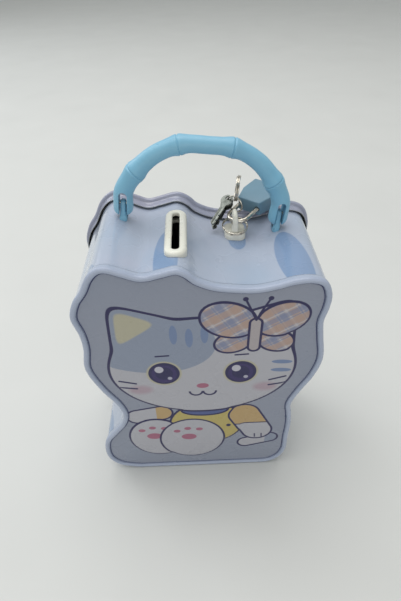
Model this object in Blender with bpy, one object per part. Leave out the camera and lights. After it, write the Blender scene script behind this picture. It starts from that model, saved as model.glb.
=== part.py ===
"""Tin money box: a wavy-sided tinplate case with a hinged rear lid, carry handle, padlock and keys.

Frame: +Z up, the printed front faces -Y. The origin is in the middle of the front rim's flat foot,
on the surface the box stands on. Sizes below are millimetres; build() turns them into metres.
"""
import math

import bmesh
import bpy
from mathutils import Matrix, Vector

# ---------------------------------------------------------------- driving dimensions, millimetres
SHEET = 0.35            # tinplate gauge
GAP = 0.3               # air left between pieces that touch
FOOT_DEPTH = 3.2        # from the front of the rim bead to the middle of its foot
FRONT = -FOOT_DEPTH     # y of the foremost point of the rim bead
WALL_INSET = 0.8        # wall's outer face inside the rim outline
WALL_FRONT = FRONT + 1.35
WALL_BACK = FRONT + 61.0
PANEL_Y = FRONT + 1.4   # face of the recessed front panel
LID_EDGE = FRONT + 57.9     # free edge of the lid's skirt
LID_BACK = FRONT + 65.7     # rearmost point of the lid's bead
OUTLINE_POINTS = 96

# silhouette of the front rim, clockwise from the lower left end of the flat foot: (x, z)
FOOT_LEFT = (-42.0, 0.0)
FOOT_RIGHT = (38.0, 0.0)
OUTLINE = [
    (-54.0, 3.5), (-60.5, 10.5), (-62.5, 20.0), (-60.5, 33.0), (-54.0, 43.0), (-48.0, 52.0),
    (-46.0, 61.5), (-48.5, 71.5), (-54.0, 83.0), (-58.5, 96.0), (-59.5, 105.0), (-57.5, 117.0),
    (-57.5, 127.0), (-59.3, 138.0), (-56.5, 147.0), (-52.0, 153.5), (-48.0, 161.0), (-43.5, 165.4),
    (-38.5, 166.2), (-32.0, 163.7), (-24.5, 160.9), (-16.5, 162.5), (-9.5, 164.1), (-4.5, 161.9),
    (0.0, 157.7), (7.5, 154.2), (17.0, 152.6), (26.0, 152.1), (35.0, 153.9), (42.0, 156.0),
    (50.0, 156.5), (56.5, 153.8), (59.7, 146.5), (59.8, 138.5), (58.6, 130.0), (60.0, 120.0),
    (62.5, 104.0), (60.0, 90.0), (54.5, 77.0), (50.6, 65.0), (51.6, 55.5), (52.6, 45.0),
    (52.4, 30.0), (52.5, 16.0), (49.5, 7.0), (44.0, 1.6),
]

# coin slot
SLOT_X = -9.6
SLOT_Y = FRONT + 30.0
SLOT_LENGTH = 31.2
SLOT_WIDTH = 3.6
BEZEL_LENGTH = 38.8
BEZEL_WIDTH = 10.4
BEZEL_TOP = 165.3

# handle: its pivots stand on two crests of unequal height, so its axis slopes down to the right
HANDLE_Y = FRONT + 44.5
PIVOT_LEFT = Vector((-34.3, HANDLE_Y, 172.3))
PIVOT_RIGHT = Vector((41.1, HANDLE_Y, 163.6))
AXIS = (PIVOT_RIGHT - PIVOT_LEFT).normalized()
RISE = Vector((-AXIS.z, 0.0, AXIS.x))
MIDDLE = (PIVOT_LEFT + PIVOT_RIGHT) / 2
HALF_SPAN = (PIVOT_RIGHT - PIVOT_LEFT).length / 2
HANDLE_RISE = 30.9      # centre line of the grip above the pivots
LEG_END = -5.0          # the legs end this far below the pivots
LEG_RADIUS = 4.75       # of the grip at its pivots
TOP_RADIUS = 3.85       # of the grip at the top of its arch
NODE_BULGE = 0.55       # extra radius at the bamboo's rings
RINGS = [(-32.2, 16.2), (-13.4, 29.9), (11.0, 30.4), (32.1, 16.3)]    # where the bamboo is ringed
FORK_WIDTH = 3.9
FORK_TOP = 7.2
PIN_RADIUS = 0.8

# lock staple on the case, and the ear on the lid
STAPLE_X = 19.6
STAPLE_PLATE = (10.6, 12.4)     # across x, along y
STAPLE_PLATE_Y = FRONT + 45.5
STAPLE_PLATE_TOP = 154.6
FIN_Y = FRONT + 44.5
FIN_TOP = 165.4
EAR_X = 21.3
EAR_Y = FRONT + 60.4
EAR_TOP = 159.3

# padlock, hung from the staple's eye and lying back over the lid
EYE = Vector((STAPLE_X - 0.8, FRONT + 44.4, 160.2))     # the bow's apex, inside the eye
LOCK_HEADING = math.radians(39.0)   # from +Y towards +X
LOCK_PITCH = math.radians(6.0)      # rises towards its far end
WIRE = 1.1                          # shackle's wire radius
BOW = 5.0                           # shackle's bow radius
LOCK_START = 14.0                   # from the bow's apex to the lock's end face
LOCK_LENGTH = 19.4
LOCK_THICK = 7.5
LOCK_END_HALF = 6.4
LOCK_MID_HALF = 8.8
LOCK_FAR_HALF = 8.0

# hinge at the foot, inside the case
HINGE_Y = FRONT + 55.2
HINGE_Z = 2.7
HINGE_PIN_RADIUS = 0.5
KNUCKLE_RADIUS = 1.0                # to the middle of the rolled sheet
HINGE_HALF = 20.0
HINGE_AXIS = Vector((0.0, HINGE_Y, HINGE_Z))

COLOURS = {
    "front_print": ((0.42, 0.47, 0.58), 0.32, 0.0),
    "wall_print": ((0.52, 0.55, 0.66), 0.30, 0.0),
    "lid_print": ((0.48, 0.47, 0.58), 0.34, 0.0),
    "blue_plastic": ((0.25, 0.50, 0.66), 0.45, 0.0),
    "white_plastic": ((0.80, 0.78, 0.68), 0.40, 0.0),
    "lock_plastic": ((0.24, 0.36, 0.42), 0.42, 0.0),
    "steel": ((0.62, 0.62, 0.60), 0.25, 1.0),
    "key_metal": ((0.20, 0.21, 0.19), 0.38, 1.0),
}

for stale in list(bpy.data.objects):
    bpy.data.objects.remove(stale, do_unlink=True)


# ---------------------------------------------------------------- helpers
def material(slot):
    """The Principled material of one slot, made once."""
    found = bpy.data.materials.get(slot)
    if found:
        return found
    colour, roughness, metallic = COLOURS[slot]
    made = bpy.data.materials.new(slot)
    made.use_nodes = True
    shader = made.node_tree.nodes["Principled BSDF"]
    shader.inputs["Base Color"].default_value = (*colour, 1.0)
    shader.inputs["Roughness"].default_value = roughness
    shader.inputs["Metallic"].default_value = metallic
    return made


def build(name, bm, slot, origin=(0.0, 0.0, 0.0), smooth=35.0):
    """Turn a bmesh in millimetres into a named object in metres, with its origin where asked."""
    bmesh.ops.recalc_face_normals(bm, faces=bm.faces)
    origin = Vector(origin)
    bmesh.ops.translate(bm, verts=bm.verts, vec=-origin)
    bmesh.ops.scale(bm, verts=bm.verts, vec=(0.001, 0.001, 0.001))
    mesh = bpy.data.meshes.new(name)
    bm.to_mesh(mesh)
    bm.free()
    mesh.shade_smooth()
    mesh.set_sharp_from_angle(angle=math.radians(smooth))
    mesh.materials.append(material(slot))
    made = bpy.data.objects.new(name, mesh)
    made.location = origin * 0.001
    bpy.context.scene.collection.objects.link(made)
    return made


def guide(name, bm):
    """A cutter or an added shape: a wire object that the build leaves out."""
    made = build(name, bm, "steel")
    made.hide_render = True
    made.display_type = "WIRE"
    return made


def boolean(target, other, operation="DIFFERENCE"):
    modifier = target.modifiers.new(other.name, "BOOLEAN")
    modifier.operation = operation
    modifier.object = other


def ring_of(bm, points):
    return [bm.verts.new(p) for p in points]


def skin(bm, rings, closed=False):
    """Quads between successive rings of vertices; closed joins the last ring to the first."""
    pairs = list(zip(rings, rings[1:]))
    if closed:
        pairs.append((rings[-1], rings[0]))
    for low, high in pairs:
        for i in range(len(low)):
            j = (i + 1) % len(low)
            bm.faces.new((low[i], low[j], high[j], high[i]))


def frame_at(origin, side, along, up):
    """Matrix whose columns are side, along and up, placed at origin."""
    rotation = Matrix((side, along, up)).transposed().to_4x4()
    return Matrix.Translation(origin) @ rotation


def prism(outline, low, high, place=Matrix.Identity(4)):
    """An outline in local x, y raised from local z low to high."""
    bm = bmesh.new()
    rings = [ring_of(bm, [place @ Vector((x, y, z)) for x, y in outline]) for z in (low, high)]
    skin(bm, rings)
    bm.faces.new(rings[0][::-1])
    bm.faces.new(rings[1])
    return bm


def bevel_edges(bm, edges, width, segments=2):
    bmesh.ops.bevel(bm, geom=edges, offset=width, segments=segments, profile=0.5,
                    affect="EDGES", clamp_overlap=True, material=-1)


def stadium(width, length, segments=8):
    """Outline of a slot with round ends, long along local y, centred on the origin."""
    radius = width / 2
    straight = length / 2 - radius
    points = []
    for end, start in ((straight, 0.0), (-straight, math.pi)):
        for i in range(segments + 1):
            angle = start + math.pi * i / segments
            points.append((radius * math.cos(angle), end + radius * math.sin(angle)))
    return points


def circle(radius, segments, centre=(0.0, 0.0)):
    return [(centre[0] + radius * math.cos(2 * math.pi * i / segments),
             centre[1] + radius * math.sin(2 * math.pi * i / segments)) for i in range(segments)]


def rounded_box(width, length, corner, segments=4):
    """Outline of a rectangle with round corners, centred on the origin."""
    points = []
    for sx, sy, start in ((1, 1, 0.0), (-1, 1, 90.0), (-1, -1, 180.0), (1, -1, 270.0)):
        for i in range(segments + 1):
            angle = math.radians(start + 90.0 * i / segments)
            points.append((sx * (width / 2 - corner) + corner * math.cos(angle),
                           sy * (length / 2 - corner) + corner * math.sin(angle)))
    return points


def tube(path, radii, sides, side_axis=None, closed=False):
    """A round section swept along a path; flat ends unless the path closes on itself."""
    bm = bmesh.new()
    count = len(path)
    tangents = []
    for i in range(count):
        ahead = path[(i + 1) % count] if closed or i < count - 1 else path[i]
        behind = path[i - 1] if closed or i > 0 else path[i]
        tangents.append((ahead - behind).normalized())
    side = side_axis or tangents[0].orthogonal()
    rings = []
    for point, tangent, radius in zip(path, tangents, radii):
        side = (side - tangent * side.dot(tangent)).normalized()
        other = tangent.cross(side)
        rings.append(ring_of(bm, [
            point + radius * (math.cos(a) * side + math.sin(a) * other)
            for a in (2 * math.pi * k / sides for k in range(sides))]))
    skin(bm, rings, closed)
    if not closed:
        bm.faces.new(rings[0][::-1])
        bm.faces.new(rings[-1])
    return bm


def wire_ring(centre, normal, radius, wire, segments=28, sides=6):
    """A closed ring of round wire."""
    normal = Vector(normal).normalized()
    first = normal.orthogonal().normalized()
    second = normal.cross(first)
    path = [centre + radius * (math.cos(a) * first + math.sin(a) * second)
            for a in (2 * math.pi * i / segments for i in range(segments))]
    return tube(path, [wire] * segments, sides, side_axis=normal, closed=True)


def rod(start, end, radius, sides=14):
    return tube([start, end], [radius, radius], sides)


# ---------------------------------------------------------------- the wavy outline
def catmull_rom(points, steps):
    """Smooth open curve through the points; its two ends leave along the flat foot."""
    lead = Vector((points[0][0] + 8.0, points[0][1]))
    tail = Vector((points[-1][0] - 8.0, points[-1][1]))
    knots = [lead] + [Vector(p) for p in points] + [tail]
    curve = []
    for a, b, c, d in zip(knots, knots[1:], knots[2:], knots[3:]):
        for i in range(steps):
            t = i / steps
            curve.append(0.5 * (2 * b + (c - a) * t + (2 * a - 5 * b + 4 * c - d) * t * t
                                + (3 * b - a - 3 * c + d) * t ** 3))
    curve.append(knots[-2])
    return [Vector((p.x, max(p.y, 0.0))) for p in curve]


def even_loop(points, count):
    """The closed loop again, with evenly spaced points."""
    closed = points + [points[0]]
    lengths = [0.0]
    for a, b in zip(closed, closed[1:]):
        lengths.append(lengths[-1] + (b - a).length)
    loop, k = [], 0
    for i in range(count):
        want = lengths[-1] * i / count
        while lengths[k + 1] < want:
            k += 1
        t = (want - lengths[k]) / (lengths[k + 1] - lengths[k])
        loop.append(closed[k].lerp(closed[k + 1], t))
    return loop


RIM = even_loop(catmull_rom([FOOT_LEFT] + OUTLINE + [FOOT_RIGHT], 12), OUTLINE_POINTS)


def offset(distance, floor=0.0):
    """The rim outline moved outwards by a distance, never below the floor height."""
    moved = []
    for i, point in enumerate(RIM):
        along = (RIM[(i + 1) % len(RIM)] - RIM[i - 1]).normalized()
        outward = Vector((-along.y, along.x))
        shifted = point + outward * distance
        moved.append(Vector((shifted.x, max(shifted.y, floor))))
    return moved


def rim_height(x, inset=0.0):
    """Highest z of the outline at x, less an inset: where a fitting sits on the top wall."""
    best = 0.0
    for a, b in zip(RIM, RIM[1:] + RIM[:1]):
        if min(a.x, b.x) <= x <= max(a.x, b.x) and abs(a.x - b.x) > 1e-6:
            best = max(best, a.y + (b.y - a.y) * (x - a.x) / (b.x - a.x))
    return best - inset


def swept(sections):
    """Closed skin through (offset, y, floor) stations round the outline."""
    bm = bmesh.new()
    rings = [ring_of(bm, [(p.x, y, p.y) for p in offset(distance, floor)])
             for distance, y, floor in sections]
    return bm, rings


def pressed_pan(name, outer, inner, slot, origin=(0.0, 0.0, 0.0)):
    """A pressed sheet: outer stations run from the free edge to the panel, inner ones come back."""
    bm, rings = swept(outer + inner)
    skin(bm, rings[:len(outer)])
    skin(bm, rings[len(outer):])
    skin(bm, [rings[-1], rings[0]])
    bm.faces.new(rings[len(outer) - 1])
    bm.faces.new(rings[len(outer)])
    return build(name, bm, slot, origin)


def saddle_cutter(name, clearance):
    """Everything below the top wall's outer face plus a clearance, to seat a fitting on it."""
    bm, rings = swept([(clearance - WALL_INSET, FRONT - 1.0, 0.0),
                       (clearance - WALL_INSET, LID_BACK + 1.0, 0.0)])
    skin(bm, rings)
    bm.faces.new(rings[0])
    bm.faces.new(rings[1])
    return guide(name, bm)


# ---------------------------------------------------------------- tinplate case
def make_case():
    pressed_pan(
        "front_panel",
        [(0.0, FRONT + 4.6, 0.0), (0.0, FRONT + 1.6, 0.0), (-0.4, FRONT + 0.5, 0.0),
         (-1.4, FRONT, 0.0), (-2.4, FRONT + 0.5, 0.0), (-2.9, PANEL_Y, 0.0)],
        [(-2.7, PANEL_Y + SHEET, 0.0), (-2.15, FRONT + 0.85, 0.0), (-1.4, FRONT + 0.4, 0.0),
         (-0.68, FRONT + 0.78, 0.0), (-0.38, FRONT + 1.65, 0.0), (-0.38, FRONT + 4.6, 0.0)],
        "front_print")

    bm, rings = swept([(-WALL_INSET, WALL_FRONT, 0.0), (-WALL_INSET, WALL_BACK, 0.0),
                       (-WALL_INSET - SHEET, WALL_BACK, 0.0),
                       (-WALL_INSET - SHEET, WALL_FRONT, 0.0)])
    skin(bm, rings, closed=True)
    wall = build("body_wall", bm, "wall_print")

    slot_hole = stadium(SLOT_WIDTH + 2 * 1.0 + 2 * GAP, SLOT_LENGTH + 2 * 1.0 + 2 * GAP)
    place = Matrix.Translation((SLOT_X, SLOT_Y, 0.0))
    boolean(wall, guide("cutter_slot", prism(slot_hole, 155.0, 170.0, place)))
    for side, pivot in (("left", PIVOT_LEFT), ("right", PIVOT_RIGHT)):
        place = Matrix.Translation((lug_foot(pivot), pivot.y, 0.0))
        shank = prism(circle(1.5 + GAP, 14), 148.0, 170.0, place)
        boolean(wall, guide("cutter_lug_" + side, shank))
    place = Matrix.Translation((STAPLE_X, STAPLE_PLATE_Y, 0.0))
    shank = prism(circle(2.0 + GAP, 14), 145.0, 160.0, place)
    boolean(wall, guide("cutter_staple", shank))
    bm = prism([(-HINGE_HALF - 1.0, HINGE_Y - 1.8), (HINGE_HALF + 1.0, HINGE_Y - 1.8),
                (HINGE_HALF + 1.0, WALL_BACK + 2.0), (-HINGE_HALF - 1.0, WALL_BACK + 2.0)],
               -1.0, 2.0)
    boolean(wall, guide("cutter_hinge_bay", bm))

    lid = pressed_pan(
        "rear_lid",
        [(0.65, LID_EDGE, 0.0), (0.65, LID_BACK - 3.3, 0.0), (2.3, LID_BACK - 2.4, 0.0),
         (2.5, LID_BACK - 1.1, 0.0), (1.4, LID_BACK - 0.1, 0.0), (-0.6, LID_BACK - 0.4, 0.0),
         (-1.6, LID_BACK - 1.3, 0.0)],
        [(-1.5, LID_BACK - 1.7, SHEET), (-0.45, LID_BACK - 0.8, SHEET),
         (1.2, LID_BACK - 0.5, SHEET), (2.1, LID_BACK - 1.3, SHEET),
         (1.95, LID_BACK - 2.1, SHEET), (0.3, LID_BACK - 3.05, SHEET), (0.3, LID_EDGE, SHEET)],
        "lid_print", HINGE_AXIS)
    place = Matrix.Translation((EAR_X, EAR_Y, 0.0))
    bm = prism(circle(0.9 + GAP, 12), 148.0, 158.0, place)
    boolean(lid, guide("cutter_ear", bm))


# ---------------------------------------------------------------- coin slot
def make_slot(saddle):
    """White bezel that follows the wavy wall, with a neck through it and a retainer inside."""
    place = Matrix.Translation((SLOT_X, SLOT_Y, 0.0))
    bm = prism(stadium(BEZEL_WIDTH, BEZEL_LENGTH), 160.5, BEZEL_TOP, place)
    top = [e for e in bm.edges if all(v.co.z > BEZEL_TOP - 0.01 for v in e.verts)]
    bevel_edges(bm, top, 1.4, 3)
    bezel = build("slot_bezel", bm, "white_plastic")
    boolean(bezel, saddle)
    neck = prism(stadium(SLOT_WIDTH + 2.0, SLOT_LENGTH + 2.0), 159.8, 164.6, place)
    boolean(bezel, guide("adder_slot_neck", neck), "UNION")
    mouth = prism(stadium(SLOT_WIDTH, SLOT_LENGTH), 155.0, 170.0, place)
    boolean(bezel, guide("cutter_mouth", mouth))

    low = rim_height(SLOT_X + 5.0, WALL_INSET + SHEET) - 0.7
    bm = prism(stadium(9.2, BEZEL_LENGTH - 1.0), low - 1.4, low, place)
    retainer = build("slot_retainer", bm, "white_plastic")
    hole = prism(stadium(SLOT_WIDTH + 2.0 + 2 * GAP, SLOT_LENGTH + 2.0 + 2 * GAP), 150.0, 170.0,
                 place)
    boolean(retainer, guide("cutter_retainer", hole))


# ---------------------------------------------------------------- handle
def on_handle(u, v, depth=0.0):
    """Point at u along the pivots' line from its middle and v above it."""
    return MIDDLE + AXIS * u + RISE * v + Vector((0.0, depth, 0.0))


def grip_line():
    """Half of the arch from the left leg's end to the top, then its mirror image."""
    knots = [(-HALF_SPAN, LEG_END), (-HALF_SPAN, 0.0), (-37.4, 7.0), (-31.8, 16.5),
             (-23.3, 25.1), (-12.3, 30.3), (0.0, HANDLE_RISE)]
    knots += [(-u, v) for u, v in knots[-2::-1]]
    vectors = [Vector(k) for k in knots]
    points = []
    steps = 5
    for i in range(len(vectors) - 1):
        a = vectors[i - 1] if i else 2 * vectors[0] - vectors[1]
        b, c = vectors[i], vectors[i + 1]
        d = vectors[i + 2] if i + 2 < len(vectors) else 2 * c - b
        for k in range(steps):
            t = k / steps
            points.append(0.5 * (2 * b + (c - a) * t + (2 * a - 5 * b + 4 * c - d) * t * t
                                 + (3 * b - a - 3 * c + d) * t ** 3))
    points.append(vectors[-1])
    return points


def grip_radius(point):
    """Thinner towards the top, fatter at the bamboo's rings, rounded in at the legs' ends."""
    nearest = min((Vector(ring) - point).length for ring in RINGS)
    share = min(max(point.y / HANDLE_RISE, 0.0), 1.0)
    radius = LEG_RADIUS + (TOP_RADIUS - LEG_RADIUS) * share
    radius += NODE_BULGE * math.exp(-(nearest / 3.2) ** 2)
    tip = point.y - LEG_END
    return radius * (0.72 + 0.28 * min(tip / 1.8, 1.0) ** 0.5) if tip < 1.8 else radius


def make_handle():
    line = grip_line()
    extra = [Vector((s * HALF_SPAN, LEG_END + rise)) for s in (-1, 1) for rise in (0.35, 0.9)]
    line = [line[0]] + extra[:2] + line[1:-1] + extra[:1:-1] + [line[-1]]
    path = [on_handle(p.x, p.y) for p in line]
    bm = tube(path, [grip_radius(p) for p in line], 14, side_axis=Vector((0.0, 1.0, 0.0)))
    grip = build("handle_grip", bm, "blue_plastic", origin=MIDDLE)

    for side, sign, pivot in (("left", -1, PIVOT_LEFT), ("right", 1, PIVOT_RIGHT)):
        place = frame_at(on_handle(sign * HALF_SPAN, 0.0), AXIS, RISE, AXIS.cross(RISE))
        half = FORK_WIDTH / 2
        arch = [(half, LEG_END - 3.0)]
        arch += [(half * math.cos(a), FORK_TOP - half + half * math.sin(a))
                 for a in (math.pi * i / 8 for i in range(9))]
        arch += [(-half, LEG_END - 3.0)]
        boolean(grip, guide("cutter_fork_" + side, prism(arch, -8.0, 8.0, place)))
        hole = rod(pivot - AXIS * 3.9, pivot + AXIS * 3.9, PIN_RADIUS + 0.15, 12)
        boolean(grip, guide("cutter_pin_hole_" + side, hole))

        pin = rod(pivot - AXIS * 3.7, pivot + AXIS * 3.7, PIN_RADIUS, 12)
        build("handle_pin_" + side, pin, "steel", origin=pivot)
        make_lug(side, pivot)


def lug_foot(pivot):
    """x of the lug's foot: the lug leans with the handle, so it isn't straight below the pivot."""
    drop = pivot.z - rim_height(pivot.x, WALL_INSET)
    return pivot.x - drop * RISE.x / RISE.z


def make_lug(side, pivot):
    """Tapered fin that carries one pivot: foot on the wall, shank through it, washer inside."""
    foot_x = lug_foot(pivot)
    seat = rim_height(foot_x, WALL_INSET)
    bm = bmesh.new()
    stations = [(seat - pivot.z - 2.4, 1.95, 3.4), (-6.9, 1.9, 3.3), (-5.0, 1.55, 2.9),
                (0.0, 1.3, 2.1), (1.7, 1.0, 1.3)]
    rings = []
    for rise, half_x, half_y in stations:
        outline = rounded_box(2 * half_x, 2 * half_y, 0.7, 2)
        rings.append(ring_of(bm, [pivot + RISE * rise + AXIS * x + Vector((0.0, y, 0.0))
                                  for x, y in outline]))
    skin(bm, rings)
    bm.faces.new(rings[0][::-1])
    bm.faces.new(rings[-1])
    lug = build("handle_lug_" + side, bm, "blue_plastic")
    boolean(lug, bpy.data.objects["saddle_cutter"])
    place = Matrix.Translation((foot_x, pivot.y, 0.0))
    shank = prism(circle(1.5, 14), seat - 5.0, seat + 1.5, place)
    boolean(lug, guide("adder_shank_" + side, shank), "UNION")
    eye = rod(pivot - AXIS * 4.0, pivot + AXIS * 4.0, PIN_RADIUS + 0.15, 12)
    boolean(lug, guide("cutter_eye_" + side, eye))

    under = rim_height(foot_x, WALL_INSET + SHEET) - 2.4
    bm = prism(circle(3.6, 18), under - 0.8, under, place)
    washer = build("lug_washer_" + side, bm, "steel")
    boolean(washer, guide("cutter_washer_" + side,
                          prism(circle(1.5 + GAP, 14), under - 3.0, under + 3.0, place)))


# ---------------------------------------------------------------- staple, ear
def make_staple():
    """White plate on the case with a standing fin; the padlock hangs from the fin's eye."""
    place = Matrix.Translation((STAPLE_X, STAPLE_PLATE_Y, 0.0))
    width, length = STAPLE_PLATE
    bm = prism(rounded_box(width, length, 3.2, 4), 150.0, STAPLE_PLATE_TOP, place)
    top = [e for e in bm.edges if all(v.co.z > STAPLE_PLATE_TOP - 0.01 for v in e.verts)]
    bevel_edges(bm, top, 0.6)
    staple = build("lock_staple", bm, "white_plastic")
    boolean(staple, bpy.data.objects["saddle_cutter"])

    bm = bmesh.new()
    rings = []
    for z, half_x, half_y in ((153.5, 1.75, 4.3), (162.4, 1.35, 4.1), (164.6, 1.15, 3.2),
                              (FIN_TOP, 0.7, 2.0)):
        outline = rounded_box(2 * half_x, 2 * half_y, 0.6, 2)
        rings.append(ring_of(bm, [(STAPLE_X + x, FIN_Y + y, z) for x, y in outline]))
    skin(bm, rings)
    bm.faces.new(rings[0][::-1])
    bm.faces.new(rings[-1])
    boolean(staple, guide("adder_fin", bm), "UNION")
    shank = prism(circle(2.0, 14), 147.0, 153.0, place)
    boolean(staple, guide("adder_staple_shank", shank), "UNION")
    sideways = frame_at(EYE, Vector((0, 1, 0)), Vector((0, 0, 1)), Vector((1, 0, 0)))
    hole = prism([(y, z) for z, y in stadium(4.3, 6.2, 6)], -4.0, 5.0, sideways)
    boolean(staple, guide("cutter_fin_eye", hole))

    under = rim_height(STAPLE_X, WALL_INSET + SHEET) - 0.9
    bm = prism(circle(4.4, 18), under - 0.8, under, place)
    washer = build("staple_washer", bm, "steel")
    boolean(washer, guide("cutter_staple_washer",
                          prism(circle(2.0 + GAP, 14), under - 3.0, under + 3.0, place)))

    # low ear on the lid's skirt, beside the fin, for the shackle to pass when the box is locked
    crest = rim_height(EAR_X, -0.65) + GAP + 0.15
    bm = bmesh.new()
    rings = []
    for z, half_x, half_y in ((crest, 0.95, 2.3), (EAR_TOP - 1.0, 0.9, 2.1),
                              (EAR_TOP, 0.5, 1.2)):
        outline = rounded_box(2 * half_x, 2 * half_y, 0.35, 2)
        rings.append(ring_of(bm, [(EAR_X + x, EAR_Y + y, z) for x, y in outline]))
    skin(bm, rings)
    bm.faces.new(rings[0][::-1])
    bm.faces.new(rings[-1])
    ear = build("lid_ear", bm, "white_plastic", HINGE_AXIS)
    place = Matrix.Translation((EAR_X, EAR_Y, 0.0))
    boolean(ear, guide("adder_ear_shank", prism(circle(0.8, 12), crest - 1.35, crest + 1.0, place)),
            "UNION")
    middle = Vector((EAR_X, EAR_Y, 156.9))
    sideways = frame_at(middle, Vector((0, 1, 0)), Vector((0, 0, 1)), Vector((1, 0, 0)))
    boolean(ear, guide("cutter_ear_eye", prism(circle(1.3, 12), -3.0, 3.0, sideways)))


# ---------------------------------------------------------------- padlock
LOCK_SIDE = Vector((math.cos(LOCK_HEADING), -math.sin(LOCK_HEADING), 0.0))
LOCK_ALONG = Vector((math.sin(LOCK_HEADING) * math.cos(LOCK_PITCH),
                     math.cos(LOCK_HEADING) * math.cos(LOCK_PITCH), math.sin(LOCK_PITCH)))
LOCK_UP = LOCK_SIDE.cross(LOCK_ALONG)
LOCK_END = EYE + LOCK_ALONG * LOCK_START


def in_lock(u, v, h=0.0):
    """Point at u across the padlock, v from its shackle end and h above its middle plane."""
    return LOCK_END + LOCK_SIDE * u + LOCK_ALONG * v + LOCK_UP * h


def make_padlock():
    """Plastic padlock: shackle, body with its bores, return spring and key plug."""
    flat = frame_at(LOCK_END, LOCK_SIDE, LOCK_ALONG, LOCK_UP)
    half = LOCK_THICK / 2
    outline = [(-LOCK_END_HALF, 0.0), (LOCK_END_HALF, 0.0), (LOCK_MID_HALF, 8.8),
               (LOCK_FAR_HALF, LOCK_LENGTH), (-LOCK_FAR_HALF, LOCK_LENGTH),
               (-LOCK_MID_HALF, 8.8)]
    bm = prism(outline, -half, half, flat)
    bevel_edges(bm, list(bm.edges), 0.9, 2)
    body = build("padlock_body", bm, "lock_plastic", EYE)
    long_end, short_end = 12.5, 4.5
    for side, sign, depth in (("long", -1, long_end + 4.0), ("short", 1, short_end + 0.6)):
        bore = rod(in_lock(sign * BOW, -2.0), in_lock(sign * BOW, depth), WIRE + 0.3, 14)
        boolean(body, guide("cutter_bore_" + side, bore))
    plug_bore = rod(in_lock(1.8, LOCK_LENGTH - 10.0), in_lock(1.8, LOCK_LENGTH + 2.0), 2.9, 18)
    boolean(body, guide("cutter_plug_bore", plug_bore))

    arc = [in_lock(-BOW * math.cos(a), -LOCK_START + BOW - BOW * math.sin(a))
           for a in (math.pi * i / 14 for i in range(15))]
    path = [in_lock(-BOW, long_end)] + arc + [in_lock(BOW, short_end)]
    bm = tube(path, [WIRE] * len(path), 10, side_axis=LOCK_UP)
    build("padlock_shackle", bm, "steel", origin=EYE)

    turns, steps, coil, strand = 5, 10, 0.85, 0.2
    first, last = long_end + 0.6, long_end + 3.7
    path = []
    for i in range(turns * steps + 1):
        t = i / (turns * steps)
        angle = 2 * math.pi * turns * t
        path.append(in_lock(-BOW + coil * math.cos(angle), first + (last - first) * t,
                            coil * math.sin(angle)))
    build("padlock_spring", tube(path, [strand] * len(path), 5), "steel", EYE)

    bm = rod(in_lock(1.8, LOCK_LENGTH - 9.5), in_lock(1.8, LOCK_LENGTH + 0.2), 2.6, 18)
    plug = build("padlock_key_plug", bm, "steel", origin=in_lock(1.8, LOCK_LENGTH))
    keyway = prism([(-0.55, -1.7), (0.55, -1.7), (0.55, 1.7), (-0.55, 1.7)], -6.0, 3.0,
                   frame_at(in_lock(1.8, LOCK_LENGTH), LOCK_SIDE, LOCK_UP, LOCK_ALONG))
    boolean(plug, guide("cutter_keyway", keyway))


# ---------------------------------------------------------------- rings and keys
LINK_RADIUS = 4.4
LEG_AT = EYE - LOCK_SIDE * BOW + LOCK_ALONG * 8.6
LINK_AT = LEG_AT + Vector((0.0, 0.0, 2.7))
SPLIT_RADIUS = 6.0
SPLIT_AT = LINK_AT + Vector((1.1, 1.0, 8.1))
STAPLE_RING_AT = Vector((STAPLE_X + 0.2, FRONT + 45.5, 156.3))


def flat_key(name, hole_at, along, face):
    """A small stamped key: round bow with a hole, and a notched blade. hole_at is the hole."""
    along = Vector(along).normalized()
    face = Vector(face)
    face = (face - along * face.dot(along)).normalized()
    place = frame_at(hole_at, face.cross(along), along, face)
    bow, blade_half, length = 3.3, 1.3, 17.0
    centre = 1.3
    start = math.asin(blade_half / bow)
    outline = [(bow * math.sin(a), centre + bow * math.cos(a))
               for a in (start + (2 * math.pi - 2 * start) * i / 16 for i in range(17))]
    outline += [(-blade_half, length - 1.2), (0.0, length), (blade_half, length - 1.2),
                (blade_half, length - 2.2), (0.5, length - 2.9), (blade_half, length - 3.6),
                (blade_half, length - 5.2), (0.4, length - 5.9), (blade_half, length - 6.6)]
    key = build(name, prism(outline, -0.45, 0.45, place), "key_metal", origin=hole_at)
    boolean(key, guide("cutter_hole_" + name, prism(circle(1.3, 12), -2.0, 2.0, place)))


def make_keys():
    bm = wire_ring(STAPLE_RING_AT, (0.0, math.sin(math.radians(-8.0)), 1.0), 6.3, 0.5)
    build("staple_ring", bm, "steel", origin=STAPLE_RING_AT)
    bm = wire_ring(LINK_AT, LOCK_ALONG, LINK_RADIUS, 0.45)
    build("link_ring", bm, "steel", origin=LEG_AT)
    bm = wire_ring(SPLIT_AT, (0.99, -0.1, -0.12), SPLIT_RADIUS, 0.6, 32)
    build("split_ring", bm, "steel", origin=LINK_AT + LOCK_UP * LINK_RADIUS)

    for name, angle, along in (("key_1", 186.0, (-0.48, -0.72, -0.45)),
                               ("key_2", 154.0, (-0.53, -0.70, -0.43))):
        a = math.radians(angle)
        out = LOCK_SIDE * math.cos(a) + LOCK_UP * math.sin(a)
        flat_key(name, LINK_AT + out * LINK_RADIUS, along, LOCK_UP)


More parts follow.
